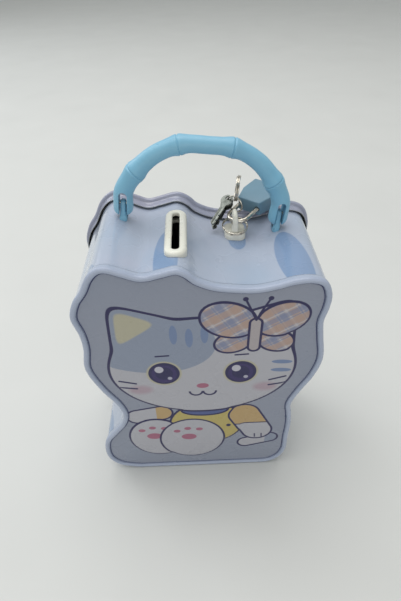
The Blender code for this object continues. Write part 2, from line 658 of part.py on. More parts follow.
# ---------------------------------------------------------------- hinge
def rolled_leaf(leaf_start, leaf_end, start_angle, sweep):
    """Section of a leaf whose edge is rolled into a knuckle: (y, z) points, closed."""
    centre = Vector((HINGE_Y, HINGE_Z))
    steps = 14
    arc = [math.radians(start_angle + sweep * i / steps) for i in range(steps + 1)]
    outer = [centre + (KNUCKLE_RADIUS + SHEET / 2) * Vector((math.cos(a), math.sin(a))) for a in arc]
    inner = [centre + (KNUCKLE_RADIUS - SHEET / 2) * Vector((math.cos(a), math.sin(a))) for a in arc]
    return [leaf_start] + outer + inner[::-1] + [leaf_end]


def extruded_leaf(section, spans, name, plate, origin):
    """Fingers of one rolled section at several x spans, joined by a plate."""
    low, high = plate
    bm = bmesh.new()
    bmesh.ops.create_cube(bm, size=1.0, matrix=Matrix.Translation((low + high) / 2)
                          @ Matrix.Diagonal((*(high - low), 1.0)))
    leaf = build(name, bm, "steel", origin)
    upright = Matrix(((0, 0, 1, 0), (1, 0, 0, 0), (0, 1, 0, 0), (0, 0, 0, 1)))
    for i, (x0, x1) in enumerate(spans):
        finger = prism([(p.x, p.y) for p in section], x0, x1, upright)
        boolean(leaf, guide(f"adder_{name}_{i}", finger), "UNION")
    return leaf


def make_hinge():
    """Inside butt hinge along the foot: case leaf, lid leaf and a wire pin."""
    floor = WALL_INSET + SHEET
    low = Vector((-HINGE_HALF, HINGE_Y - 9.0, floor + GAP))
    high = Vector((HINGE_HALF, HINGE_Y - 2.4, floor + GAP + 0.5))
    section = rolled_leaf(Vector((HINGE_Y - 2.9, low.z + 0.05)),
                          Vector((HINGE_Y - 2.9, high.z - 0.05)), 250.0, 250.0)
    spans = [(-19.5, -13.0), (-4.0, 4.0), (13.0, 19.5)]
    extruded_leaf(section, spans, "hinge_leaf_case", (low, high), (0.0, 0.0, 0.0))

    low = Vector((-HINGE_HALF, HINGE_Y + 2.7, SHEET + GAP))
    high = Vector((HINGE_HALF, HINGE_Y + 7.6, SHEET + GAP + 0.5))
    section = rolled_leaf(Vector((HINGE_Y + 3.2, low.z + 0.05)),
                          Vector((HINGE_Y + 3.2, high.z - 0.05)), 290.0, -250.0)
    spans = [(-12.6, -4.4), (4.4, 12.6)]
    extruded_leaf(section, spans, "hinge_leaf_lid", (low, high), HINGE_AXIS)

    half = Vector((HINGE_HALF, 0.0, 0.0))
    pin = rod(HINGE_AXIS - half, HINGE_AXIS + half, HINGE_PIN_RADIUS, 10)
    build("hinge_pin", pin, "steel", origin=HINGE_AXIS)


make_case()
saddle = saddle_cutter("saddle_cutter", GAP)
make_slot(saddle)
make_handle()
make_staple()
make_padlock()
make_keys()
make_hinge()
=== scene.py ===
# %% [markdown]
# # A wavy tin money box
#
# The box is thin printed sheet metal with a moulded handle, a slot bezel, a staple, a small padlock
# and two keys on wire rings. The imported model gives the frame: its bodies, joints and places. This
# lesson makes the surfaces that the eye sees and hangs each one on the body that carries it.

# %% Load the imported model
import math

import bmesh
import bpy
from mathutils import Matrix, Vector


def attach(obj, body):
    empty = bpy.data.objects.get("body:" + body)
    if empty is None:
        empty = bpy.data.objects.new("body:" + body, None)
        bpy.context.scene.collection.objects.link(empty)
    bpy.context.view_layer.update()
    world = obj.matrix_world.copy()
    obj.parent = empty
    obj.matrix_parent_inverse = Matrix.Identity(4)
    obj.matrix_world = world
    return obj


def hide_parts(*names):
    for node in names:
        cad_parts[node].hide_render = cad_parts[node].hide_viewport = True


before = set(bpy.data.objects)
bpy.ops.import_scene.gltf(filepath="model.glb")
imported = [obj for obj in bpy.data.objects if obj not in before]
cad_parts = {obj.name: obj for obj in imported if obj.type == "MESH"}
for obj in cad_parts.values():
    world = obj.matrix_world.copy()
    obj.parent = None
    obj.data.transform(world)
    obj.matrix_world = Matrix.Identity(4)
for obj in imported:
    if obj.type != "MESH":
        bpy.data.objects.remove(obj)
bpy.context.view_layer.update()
MM = 0.001

# %% [markdown]
# ## Camera
#
# The box stands on a table and is looked down on from close in front. The lens is as wide as a
# telephone's, which is why the front tapers towards the foot. Three turns set the view: a small
# heading, the tilt, and a slight roll of the hand.

# %% Place the camera
CAMERA_PLACE = Vector((-0.793, -146.33, 274.339)) * MM
HEADING, TILT, ROLL = -0.583, 48.35, -1.847     # degrees

camera_data = bpy.data.cameras.new("camera")
camera_data.lens = 25.937
camera = bpy.data.objects.new("camera", camera_data)
turns = ((HEADING, "Z"), (TILT, "X"), (ROLL, "Z"))
camera_turn = Matrix.Identity(4)
for angle, axis in turns:
    camera_turn = camera_turn @ Matrix.Rotation(math.radians(angle), 4, axis)
camera.matrix_world = Matrix.Translation(CAMERA_PLACE) @ camera_turn
bpy.context.scene.collection.objects.link(camera)
bpy.context.scene.camera = camera
print("lens", camera_data.lens, "mm")

# %% [markdown]
# ## Shader sums
#
# A print has dozens of shapes, and wiring each by hand would be endless. `Wire` holds one socket and
# understands + - * /, so a distance is written as a formula. `Finish` holds one material, and its
# `node` method adds any other node with its settings and sockets.


# %% A socket that does sums
class Wire:
    """One socket of a material. Arithmetic on it adds Math nodes."""

    def __init__(self, finish, socket):
        self.finish = finish
        self.socket = socket

    def math(self, operation, *others, clamp=False):
        settings = {"operation": operation, "use_clamp": clamp}
        return self.finish.node("ShaderNodeMath", settings, dict(enumerate((self, *others))))

    def __add__(self, other):
        return self.math("ADD", other)

    def __mul__(self, other):
        return self.math("MULTIPLY", other)

    def __sub__(self, other):
        return self.math("SUBTRACT", other)

    def __truediv__(self, other):
        return self.math("DIVIDE", other)

    def __rsub__(self, other):
        return self * -1 + other

    def __neg__(self):
        return self * -1

    def __abs__(self):
        return self.math("ABSOLUTE")

    __radd__ = __add__
    __rmul__ = __mul__


# %% A material that takes nodes by name
def srgb(red, green, blue):
    """A screen colour, 0 to 255, as the linear colour a shader wants."""
    parts = [part / 255 for part in (red, green, blue)]
    return (*[p / 12.92 if p < 0.04045 else ((p + 0.055) / 1.055) ** 2.4 for p in parts], 1.0)


class Finish:
    """One material, with its Principled shader and its Object coordinates in millimetres."""

    def __init__(self, name, colour, roughness, metallic=0.0, coat=0.0, specular=0.5):
        self.material = bpy.data.materials.new(name)
        self.material.use_nodes = True
        self.tree = self.material.node_tree
        self.shader = self.tree.nodes["Principled BSDF"]
        self.shader.inputs["Base Color"].default_value = colour
        self.shader.inputs["Roughness"].default_value = roughness
        self.shader.inputs["Metallic"].default_value = metallic
        self.shader.inputs["Coat Weight"].default_value = coat
        self.shader.inputs["Coat Roughness"].default_value = 0.08
        self.shader.inputs["Specular IOR Level"].default_value = specular
        place = self.node("ShaderNodeTexCoord", output="Object")
        self.place = self.vector("SCALE", place, Scale=1 / MM)

    def node(self, kind, settings=None, sockets=None, output=0):
        made = self.tree.nodes.new(kind)
        for key, value in (settings or {}).items():
            setattr(made, key, value)
        for key, value in (sockets or {}).items():
            if isinstance(value, Wire):
                self.tree.links.new(value.socket, made.inputs[key])
            else:
                made.inputs[key].default_value = value
        return Wire(self, made.outputs[output])

    def vector(self, operation, *values, output=0, **named):
        return self.node("ShaderNodeVectorMath", {"operation": operation},
                         {**dict(enumerate(values)), **named}, output)

    def part(self, axis):
        """One coordinate of the place, in millimetres."""
        return self.node("ShaderNodeSeparateXYZ", None, {0: self.place}, axis)

    def mix(self, share, low, high):
        return self.node("ShaderNodeMix", {"data_type": "RGBA"}, {0: share, 6: low, 7: high}, 2)

    def noise(self, size, detail, place=None):
        """Smooth noise from 0 to 1, with lumps about size millimetres across."""
        sockets = {"Vector": place or self.place, "Scale": 1 / size, "Detail": detail}
        return self.node("ShaderNodeTexNoise", None, sockets)

    def spread(self, value, low, high, to_low=0.0, to_high=1.0):
        sockets = {0: value, 1: low, 2: high, 3: to_low, 4: to_high}
        return self.node("ShaderNodeMapRange", {"interpolation_type": "SMOOTHSTEP"}, sockets)

    def connect(self, socket, wire):
        self.tree.links.new(wire.socket, self.shader.inputs[socket])

    def bump(self, height, depth, after=None):
        """Raise the surface by height (0 to 1) times depth millimetres."""
        sockets = {"Height": height, "Distance": depth * MM, "Strength": 1.0}
        if after:
            sockets["Normal"] = after
        made = self.node("ShaderNodeBump", None, sockets)
        self.connect("Normal", made)
        return made


# %% [markdown]
# ## Print
#
# Tin is printed flat, with solid patches of ink, before it is pressed. The picture is therefore
# painted like paper shapes laid one over another: each shape is a signed distance in millimetres,
# and the colour changes where the distance passes zero. The picture is a sitting kitten with a
# checked butterfly by its ear.

# %% Shapes that can be painted
INK = srgb(40, 28, 66)
EDGE_BLUR = 0.3     # millimetres over which one ink changes to the next


class Print(Finish):
    """A finish painted with shapes on a flat sheet whose place is the vector self.sheet."""

    def flat(self, across, up):
        """The place on a flat sheet, along two of the axes."""
        return self.node("ShaderNodeCombineXYZ", None, {0: self.part(across), 2: self.part(up)})

    def inset(self):
        """How far inside the outline the sheet is, in millimetres."""
        return self.node("ShaderNodeAttribute", {"attribute_name": "inset"}, output="Fac")

    def oval(self, centre, half, turn=0.0):
        """Distance to an oval. Two scaled lengths give a line of nearly even width all round."""
        scale = (half[0], 1.0, half[1])
        sockets = {"Vector": self.sheet, "Location": (centre[0], 0.0, centre[1]),
                   "Rotation": (0.0, -math.radians(turn), 0.0), "Scale": scale}
        inside = self.node("ShaderNodeMapping", {"vector_type": "TEXTURE"}, sockets)
        size = self.vector("LENGTH", inside, output="Value")
        slope = self.vector("LENGTH", self.vector("DIVIDE", inside, scale), output="Value")
        return size * (size - 1.0) / slope.math("MAXIMUM", 0.001)

    def stroke(self, start, end, radius):
        """Distance to a straight stroke with round ends."""
        first = Vector((start[0], 0.0, start[1]))
        run = Vector((end[0], 0.0, end[1])) - first
        away = self.vector("SUBTRACT", self.sheet, first)
        share = self.vector("DOT_PRODUCT", away, run / run.length_squared, output="Value")
        foot = self.vector("SCALE", run, Scale=share.math("ADD", 0.0, clamp=True))
        return self.vector("DISTANCE", away, foot, output="Value") - radius

    def side(self, start, end):
        """Distance to the left of the line from start to end, less than zero on its right."""
        run = Vector((end[0] - start[0], end[1] - start[1])).normalized()
        across = Vector((-run.y, 0.0, run.x))
        offset_of_line = across.x * start[0] + across.z * start[1]
        return self.vector("DOT_PRODUCT", self.sheet, across, output="Value") - offset_of_line

    def wedge(self, corners, rounding):
        """Distance to a triangle given clockwise, with rounded corners."""
        a, b, c = corners
        first = self.side(a, b).math("SMOOTH_MAX", self.side(b, c), rounding)
        return first.math("SMOOTH_MAX", self.side(c, a), rounding)

    def lay(self, distance, colour, blur=EDGE_BLUR, share=1.0):
        mask = distance.math("MULTIPLY_ADD", -1 / blur, 0.5, clamp=True)
        self.colour = self.mix(mask * share if share < 1.0 else mask, self.colour, colour)

    def inked(self, distance, colour, line=1.25):
        self.lay(distance - line, INK)
        self.lay(distance, colour)


# %% [markdown]
# ### The picture's shapes
#
# The silhouettes are named once, because two things use them: the ink, and the gentle relief that the
# press gives to the sheet behind the picture.

# %% Silhouettes of the picture, in millimetres across and up
HEAD = ((0.5, 98.5), (47.5, 36.0), 0.0)
EARS = [((-43.5, 110.0), (-41.5, 144.5), (-8.0, 132.5)), ((9.0, 132.5), (43.5, 144.5), (45.5, 110.0))]
INNER_EARS = [((-41.0, 118.0), (-39.5, 141.5), (-20.0, 133.0)),
              ((21.5, 133.0), (41.5, 141.5), (43.0, 118.0))]
TUNIC = ((2.0, 48.0), (21.0, 20.0), 0.0)
SOLES = [((-28.0, 34.5), (16.5, 19.0), 8.0), ((-7.0, 32.5), (19.0, 20.5), -5.0)]
WINGS = [((13.5, 133.0), (13.5, 10.0), -24.0), ((16.0, 118.5), (9.0, 6.6), 22.0),
         ((39.0, 132.5), (12.5, 9.4), 26.0), ((37.0, 118.0), (8.6, 6.3), -20.0)]
ARMS = [((-24.0, 60.0), (-38.0, 57.0), 5.8), ((24.0, 56.0), (32.5, 38.0), 8.4)]
TAIL = ((26.0, 25.0), (41.0, 29.5), 4.2)
SMILES = [(-3.3, 80.5), (4.1, 80.5)]
EYES = [(-19.5, 96.5), (20.5, 95.5)]

# %% Inks of the picture
FUR = srgb(214, 213, 214)
SMOKE = srgb(168, 178, 192)
STRIPE = srgb(138, 158, 190)
CREAM = srgb(214, 208, 172)
YELLOW = srgb(222, 202, 104)
AMBER = srgb(222, 188, 116)
COLLAR = srgb(96, 110, 160)
ROSE = srgb(196, 120, 134)
BLUSH = srgb(200, 160, 168)
CHECK_GROUND = srgb(206, 196, 190)
CHECK_BLUE = srgb(146, 156, 184)
CHECK_ORANGE = srgb(212, 180, 154)
CHECK_WHITE = srgb(230, 224, 220)


# %% Paint the kitten
def paint_kitten(tin):
    """Lay the picture's shapes from the back to the front."""
    tin.inked(tin.stroke(*TAIL), FUR)
    tin.lay(tin.stroke(*TAIL).math("MAXIMUM", 38.0 - tin.part("X")), SMOKE)
    tin.inked(tin.stroke(*ARMS[0]), FUR)
    tin.lay(tin.stroke(*ARMS[0]).math("MAXIMUM", -27.0 - tin.part("X")), AMBER)
    tin.inked(tin.oval(*TUNIC), YELLOW)
    tin.lay(tin.oval((15.0, 46.0), (1.4, 1.4)), INK)
    tin.inked(tin.oval((1.0, 63.5), (13.0, 5.5)), COLLAR)
    arm = tin.stroke(*ARMS[1])
    tin.inked(arm, FUR)
    tin.lay(arm.math("MAXIMUM", 46.5 - tin.part("Z")), AMBER)
    tin.lay(abs(tin.part("Z") - 46.5).math("MAXIMUM", arm) - 0.45, INK)
    for shift in (-2.0, 2.2):
        tin.lay(tin.stroke((33.5 + shift, 30.6), (33.3 + shift, 34.0), 0.4), INK)
    for (x, z), half, turn in SOLES:
        tin.inked(tin.oval((x, z), half, turn), FUR)
        tin.lay(tin.oval((x - 2.0, z + 2.5), (4.6, 3.2)), ROSE)
        for toe_x, toe_z in ((-9.0, 9.0), (-2.5, 11.5), (4.5, 10.5)):
            tin.lay(tin.oval((x + toe_x, z + toe_z), (2.1, 1.6)), ROSE)
    paint_head(tin)
    paint_face(tin)
    paint_butterfly(tin)


def paint_head(tin):
    head = tin.oval(*HEAD)
    for corners in EARS:
        head = head.math("SMOOTH_MIN", tin.wedge(corners, 13.0), 5.0)
    tin.inked(head, FUR, 1.5)
    patch = tin.oval((-28.0, 122.0), (36.0, 24.0), -12.0)
    tin.lay(patch.math("MAXIMUM", head), SMOKE)
    for corners in INNER_EARS:
        tin.lay(tin.wedge(corners, 8.0), CREAM, 0.8)
    for x, low in ((-13.0, 119.5), (-5.5, 117.0), (2.0, 119.5)):
        tin.lay(tin.oval((x, low + 5.5), (1.9, 6.5)), STRIPE)
    for height in (102.5, 96.0):
        tin.lay(tin.oval((41.5, height), (5.4, 1.5), -4.0).math("MAXIMUM", head), STRIPE)


def paint_face(tin):
    for sign, (x, z) in zip((-1, 1), EYES):
        tin.lay(tin.oval((x, z), (9.2, 9.6)), CREAM, 0.9)
        tin.lay(tin.oval((x, z), (8.2, 8.6)), INK)
        tin.lay(tin.oval((x, z - 0.4), (6.6, 7.0)), srgb(62, 44, 94))
        tin.lay(tin.oval((x, z), (4.6, 5.0)), INK)
        tin.lay(tin.oval((x - 2.4, z + 3.2), (2.3, 2.5)), srgb(226, 224, 230))
        tin.lay(tin.oval((x + 2.8, z - 4.0), (1.2, 1.2)), srgb(206, 204, 216))
        tin.lay(tin.stroke((x - 3.2, z + 13.6), (x + 3.2, z + 13.9), 0.55), INK)
        tin.lay(tin.oval((x + sign * 13.5, z - 13.0), (6.2, 3.6)), BLUSH, 3.0, 0.6)
        for rise in (-5.5, -9.8):
            near = (x + sign * 15.5, z + rise - 2.0)
            far = (x + sign * 24.0, z + rise * 1.25 + 2.0)
            tin.lay(tin.stroke(near, far, 0.6), INK)
    tin.lay(tin.oval((0.4, 85.2), (3.3, 2.1)), ROSE)
    for centre in SMILES:
        ring = abs(tin.oval(centre, (3.5, 3.5))) - 0.6
        tin.lay(ring.math("MAXIMUM", tin.part("Z") - centre[1]), INK)


def paint_butterfly(tin):
    check = paint_check(tin)
    for (x, z), half, turn in WINGS[1::2] + WINGS[::2]:
        tin.inked(tin.oval((x, z), half, turn), check)
    tin.inked(tin.stroke((26.2, 114.5), (26.4, 131.0), 2.3), CHECK_GROUND)
    for tip in ((21.0, 145.5), (32.5, 145.5)):
        tin.lay(tin.stroke((26.4, 133.0), tip, 0.55), INK)
        tin.lay(tin.oval(tip, (1.3, 1.3)), INK)


def paint_check(tin):
    """A woven check: bands both ways over a plain ground, at an easy slant."""
    slant = tin.node("ShaderNodeVectorRotate", {"rotation_type": "Y_AXIS"},
                     {"Vector": tin.sheet, "Angle": math.radians(32.0)})
    ground, tin.colour = tin.colour, CHECK_GROUND
    for axis in ("X", "Z"):
        run = tin.node("ShaderNodeSeparateXYZ", None, {0: slant}, axis)
        for shift, half_width, ink, share in ((0.0, 1.9, CHECK_ORANGE, 0.75), (5.6, 1.5, CHECK_BLUE, 0.6),
                                              (3.0, 0.35, CHECK_WHITE, 0.8), (8.2, 0.3, CHECK_BLUE, 0.7)):
            band = (run + shift).math("PINGPONG", 5.5) - half_width
            tin.lay(band, ink, 0.5, share)
    check, tin.colour = tin.colour, ground
    return check


# %% [markdown]
# ## Tin finishes
#
# The sheet is varnished over its ink, so it is a coloured surface under a clear coat, and thin metal is
# never quite flat: a slow ripple bends its reflections. A paler band round the front's bead is a painted
# highlight, where the bead's rounded edge catches the light. The inside is plain tin with a soft rolled
# grain.

# %% Ripple, smudges and the bare inside
NAVY = srgb(52, 58, 98)


def varnish(tin, ripple):
    """Slow dents in thin sheet, and a varnish that is a little smeared."""
    tin.bump(tin.noise(34.0, 0.0), ripple)
    smears = tin.noise(16.0, 2.0)
    tin.connect("Roughness", tin.spread(smears, 0.3, 0.7, 0.24, 0.34))


def tone(tin, base, pale, deep, size):
    """A base colour that drifts slightly, as a cheap print does."""
    drift = tin.noise(size, 2.0)
    paler = tin.mix(tin.spread(drift, 0.5, 0.75, 0.0, 0.6), base, pale)
    return tin.mix(tin.spread(drift, 0.5, 0.25, 0.0, 0.6), paler, deep)


bare_tin = Finish("bare_tin", srgb(176, 178, 176), 0.38, metallic=0.9)
grain = bare_tin.vector("MULTIPLY", bare_tin.place, (1.0, 0.06, 1.0))
bare_tin.bump(bare_tin.noise(0.5, 4.0, place=grain), 0.006)
bare_tin.connect("Roughness", bare_tin.spread(bare_tin.noise(6.0, 4.0), 0.3, 0.7, 0.3, 0.48))

# %% The printed front
BEAD_WIDTH = 3.3        # how far the front's bead reaches in from the outline
FLANGE_FROM = -1.1      # y behind which the front's sheet is its flange

front_print = Print("front_print", srgb(174, 180, 190), 0.3, coat=0.1, specular=0.3)
front_print.sheet = front_print.flat("X", "Z")
front_print.colour = tone(front_print, srgb(174, 180, 190), srgb(180, 184, 192), srgb(168, 178, 190), 60.0)
paint_kitten(front_print)
inset = front_print.inset()
front_print.lay(inset - BEAD_WIDTH, srgb(158, 168, 188), 0.6)
front_print.lay(abs(inset - BEAD_WIDTH + 0.05) - 0.32, NAVY, 0.4)
# Painted highlight: a paler band along the bead's rounded edge, where it catches the light.
front_print.lay(abs(inset - 1.0) - 0.6, srgb(166, 174, 192), 1.2, 0.8)
front_print.lay(FLANGE_FROM - front_print.part("Y"), srgb(162, 172, 190), 0.6)
front_print.connect("Base Color", front_print.colour)
varnish(front_print, 0.06)
print("front print:", len(front_print.tree.nodes), "nodes")

# %% The printed wall and lid
TONGUE_BLUE = srgb(122, 144, 176)
TOP_FROM = 147.0        # height above which the wall is its top
TONGUES = [((-14.0, 9.0), (5.6, 21.0), 0.0), ((20.4, 36.5), (4.4, 8.2), 0.0),
           ((44.5, 13.5), (7.4, 23.0), 5.0), ((-48.0, -4.0), (4.6, 11.0), 0.0)]
SIDE_TONGUES = [((height, y), (6.5, 24.0), 6.0)
                for height, y in ((34.0, -2.0), (72.0, 58.0), (108.0, 2.0), (142.0, 56.0))]

wall_print = Print("wall_print", srgb(160, 170, 190), 0.28, coat=0.7)
wall_print.colour = tone(wall_print, srgb(163, 173, 191), srgb(172, 176, 194), srgb(153, 170, 191), 34.0)
below_top = TOP_FROM - wall_print.part("Z")
for across, tongues, outside in (("X", TONGUES, below_top), ("Z", SIDE_TONGUES, -below_top)):
    wall_print.sheet = wall_print.flat(across, "Y")
    for tongue in tongues:
        wall_print.lay(wall_print.oval(*tongue).math("MAXIMUM", outside), TONGUE_BLUE, 0.5)
wall_print.connect("Base Color", wall_print.colour)
varnish(wall_print, 0.1)

LID_BACK_FROM = 60.2    # y behind which the lid is its back
lid_print = Print("lid_print", srgb(146, 148, 166), 0.3, coat=0.5)
lid_print.sheet = lid_print.flat("X", "Z")
lid_print.colour = tone(lid_print, srgb(144, 148, 167), srgb(154, 152, 169), srgb(138, 145, 166), 40.0)
before_back = LID_BACK_FROM - lid_print.part("Y")
for row in range(4):
    for column in range(3):
        spot = (-38.0 + column * 32.0 + (row % 2) * 12.0, 30.0 + row * 34.0)
        tongue = lid_print.oval(spot, (4.6, 8.5), 8.0).math("MAXIMUM", before_back)
        lid_print.lay(tongue, srgb(126, 140, 172), 0.6)
lid_print.lay(abs(lid_print.inset() - 3.4) - 0.3, NAVY, 0.5)
lid_print.connect("Base Color", lid_print.colour)
varnish(lid_print, 0.1)
print("wall tongues:", len(TONGUES) + len(SIDE_TONGUES))

# %% [markdown]
# ## Plastics and wire
#
# The handle is soft blue plastic with a matt mould skin, the bezel and staple are warmer and glossier,
# and the padlock is a dull grey-blue. The rings are bright plated wire, slightly stained, and the keys
# are dark from tumbling.


# %% Moulded plastic and worked metal
def plastic(name, base, pale, deep, roughness, grain_depth):
    """Plastic whose colour drifts a little, with a fine mould skin."""
    made = Finish(name, base, roughness)
    made.connect("Base Color", tone(made, base, pale, deep, 14.0))
    flow = made.bump(made.noise(5.0, 2.0), grain_depth * 4)
    made.bump(made.noise(0.35, 2.0), grain_depth, after=flow)
    wear = made.noise(3.0, 4.0)
    made.connect("Roughness", made.spread(wear, 0.3, 0.7, roughness - 0.05, roughness + 0.09))
    return made


def metal(name, base, stain, roughness):
    """Metal with stains, a very fine unevenness and a varying polish."""
    made = Finish(name, base, roughness, metallic=1.0)
    stains = made.spread(made.noise(2.6, 3.0), 0.54, 0.75)
    made.connect("Base Color", made.mix(stains, base, stain))
    polish = made.noise(1.1, 4.0)
    made.connect("Roughness", made.spread(polish, 0.3, 0.7, roughness - 0.05, roughness + 0.1))
    made.bump(made.noise(0.5, 2.0), 0.003)
    return made


handle_plastic = plastic("handle_plastic", srgb(122, 176, 202), srgb(130, 181, 204),
                         srgb(114, 170, 199), 0.4, 0.004)
white_plastic = plastic("white_plastic", srgb(218, 217, 206), srgb(224, 223, 213),
                        srgb(212, 208, 192), 0.3, 0.003)
lock_plastic = plastic("lock_plastic", srgb(100, 132, 150), srgb(110, 142, 158),
                       srgb(92, 124, 142), 0.4, 0.004)
plated_wire = metal("plated_wire", srgb(200, 194, 182), srgb(134, 120, 102), 0.2)
key_metal = metal("key_metal", srgb(112, 116, 112), srgb(84, 88, 84), 0.3)
print(len(bpy.data.materials), "materials")

# %% [markdown]
# ## The wavy outline
#
# Everything sheet-like follows one closed outline. It is drawn through a few dozen knots with a smooth
# curve, then divided evenly, so that each bead and flange can be a loop moved out or in from it.

# %% Knots of the outline, clockwise from the flat foot's left end
FOOT = ((-42.0, 0.0), (38.0, 0.0))
KNOTS = [
    (-54.0, 3.5), (-60.5, 10.5), (-62.5, 20.0), (-60.5, 33.0), (-54.0, 43.0), (-48.0, 52.0),
    (-46.0, 61.5), (-48.5, 71.5), (-54.0, 83.0), (-58.5, 96.0), (-59.5, 105.0), (-57.5, 117.0),
    (-57.5, 127.0), (-59.3, 138.0), (-56.5, 147.0), (-52.0, 153.5), (-48.0, 161.0), (-43.5, 165.4),
    (-38.5, 166.2), (-32.0, 163.7), (-24.5, 160.9), (-16.5, 162.5), (-9.5, 164.1), (-4.5, 161.9),
    (0.0, 157.7), (7.5, 154.2), (17.0, 152.6), (26.0, 152.1), (35.0, 153.9), (42.0, 156.0),
    (50.0, 156.5), (56.5, 153.8), (59.7, 146.5), (59.8, 138.5), (58.6, 130.0), (60.0, 120.0),
    (62.5, 104.0), (60.0, 90.0), (54.5, 77.0), (50.6, 65.0), (51.6, 55.5), (52.6, 45.0),
    (52.4, 30.0), (52.5, 16.0), (49.5, 7.0), (44.0, 1.6),
]
LEAD = 8.0      # how far along the foot the curve's first and last knots lie
OUTLINE_POINTS = 384


def smooth_path(knots, steps):
    """Catmull-Rom curve. The first and last knots only set the direction at the ends."""
    curve = []
    for a, b, c, d in zip(knots, knots[1:], knots[2:], knots[3:]):
        for step in range(steps):
            t = step / steps
            curve.append(0.5 * (2 * b + (c - a) * t + (2 * a - 5 * b + 4 * c - d) * t * t
                                + (3 * b - a - 3 * c + d) * t ** 3))
    return curve + [knots[-2]]


def lengths_of(points):
    """Distance run along a path at each of its points."""
    run = [0.0]
    for a, b in zip(points, points[1:]):
        run.append(run[-1] + (b - a).length)
    return run


def at_length(points, run, wanted):
    k = 0
    while k < len(run) - 2 and run[k + 1] < wanted:
        k += 1
    return points[k].lerp(points[k + 1], (wanted - run[k]) / (run[k + 1] - run[k]))


def divided(points, count):
    """The closed loop again, with evenly spaced points."""
    closed = points + [points[0]]
    run = lengths_of(closed)
    return [at_length(closed, run, run[-1] * i / count) for i in range(count)]


first_lead, last_lead = (FOOT[0][0] + LEAD, 0.0), (FOOT[1][0] - LEAD, 0.0)
knots = [Vector(k) for k in (first_lead, FOOT[0], *KNOTS, FOOT[1], last_lead)]
curve = [Vector((p.x, max(p.y, 0.0))) for p in smooth_path(knots, 12)]
OUTLINE = divided(curve, OUTLINE_POINTS)
print("outline is", round(lengths_of(OUTLINE)[-1]), "mm round")


# %% Loops that follow the outline
def outline_at(distance):
    """The outline moved outwards by a distance, never below the table."""
    moved = []
    for i, point in enumerate(OUTLINE):
        along = (OUTLINE[(i + 1) % OUTLINE_POINTS] - OUTLINE[i - 1]).normalized()
        shifted = point + Vector((-along.y, along.x)) * distance
        moved.append(Vector((shifted.x, max(shifted.y, 0.0))))
    return moved


def top_height(x, distance=0.0):
    """Height of the top wall at x, at a distance outside the outline."""
    loop = outline_at(distance)
    crossings = [a.y + (b.y - a.y) * (x - a.x) / (b.x - a.x) for a, b in zip(loop, loop[1:])
                 if (a.x - x) * (b.x - x) <= 0 and a.x != b.x]
    return max(crossings)


def wrapped(sections):
    """Extrude a loop round the box from station to station. Each station is (distance, y)."""
    bm = bmesh.new()
    place = bm.verts.layers.int.new("place")
    depth = bm.verts.layers.float.new("inset")
    first = [bm.verts.new((p.x, sections[0][1], p.y)) for p in outline_at(sections[0][0])]
    for i, vert in enumerate(first):
        vert[place] = i
        vert[depth] = -sections[0][0]
    edges = [bm.edges.new((first[i - 1], first[i])) for i in range(OUTLINE_POINTS)]
    for distance, y in sections[1:]:
        grown = bmesh.ops.extrude_edge_only(bm, edges=edges)["geom"]
        loop = outline_at(distance)
        for vert in (g for g in grown if isinstance(g, bmesh.types.BMVert)):
            point = loop[vert[place]]
            vert.co = (point.x, y, point.y)
            vert[depth] = -distance
        edges = [g for g in grown if isinstance(g, bmesh.types.BMEdge) and g.is_boundary]
    return bm, edges


def quarter(centre, radii, start, steps=6):
    """Points (distance, y) on a quarter of an oval bead, after its first one."""
    angles = [math.radians(start + 90.0 * i / steps) for i in range(1, steps + 1)]
    return [(centre[0] + radii[0] * math.cos(a), centre[1] - radii[1] * math.sin(a)) for a in angles]


# %% [markdown]
# ## Turning a mesh into a piece
#
# Every piece ends the same way: its shape is scaled from millimetres to metres, its faces are turned
# outwards, and it is hung on its body.


# %% Finish a piece
def piece(name, bm, finish, body, stands_for=(), sharp=38.0, inner=None):
    """A bmesh in millimetres becomes a named object that rides on a body."""
    bmesh.ops.recalc_face_normals(bm, faces=bm.faces)
    bmesh.ops.scale(bm, verts=bm.verts, vec=(MM, MM, MM))
    mesh = bpy.data.meshes.new(name)
    bm.to_mesh(mesh)
    bm.free()
    mesh.shade_smooth()
    mesh.set_sharp_from_angle(angle=math.radians(sharp))
    mesh.materials.append(finish.material)
    if inner:
        mesh.materials.append(inner.material)
    made = bpy.data.objects.new(name, mesh)
    bpy.context.scene.collection.objects.link(made)
    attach(made, body)
    if stands_for:
        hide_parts(*stands_for)
    return made


def thicken(made, thickness):
    """Give a pressed sheet its gauge, inwards, with the bare metal on its inner side."""
    solid = made.modifiers.new("gauge", "SOLIDIFY")
    solid.thickness = thickness * MM
    solid.offset = -1.0
    solid.material_offset = 1
    solid.material_offset_rim = 1


def scratch_object(bm):
    mesh = bpy.data.meshes.new("scratch")
    bmesh.ops.recalc_face_normals(bm, faces=bm.faces)
    bm.to_mesh(mesh)
    bm.free()
    made = bpy.data.objects.new("scratch", mesh)
    bpy.context.scene.collection.objects.link(made)
    return made


def combined(bm, tool, operation="DIFFERENCE"):
    """The exact boolean of two bmeshes, as a new bmesh."""
    body, cutter = scratch_object(bm), scratch_object(tool)
    modifier = body.modifiers.new("combine", "BOOLEAN")
    modifier.operation = operation
    modifier.object = cutter
    seen = body.evaluated_get(bpy.context.evaluated_depsgraph_get())
    result = bmesh.new()
    result.from_mesh(seen.to_mesh())
    seen.to_mesh_clear()
    for scratch in (body, cutter):
        mesh = scratch.data
        bpy.data.objects.remove(scratch)
        bpy.data.meshes.remove(mesh)
    return result


def round_off(bm, edges, width, segments):
    bmesh.ops.bevel(bm, geom=edges, offset=width, segments=segments, profile=0.5,
                    affect="EDGES", clamp_overlap=True, material=-1)


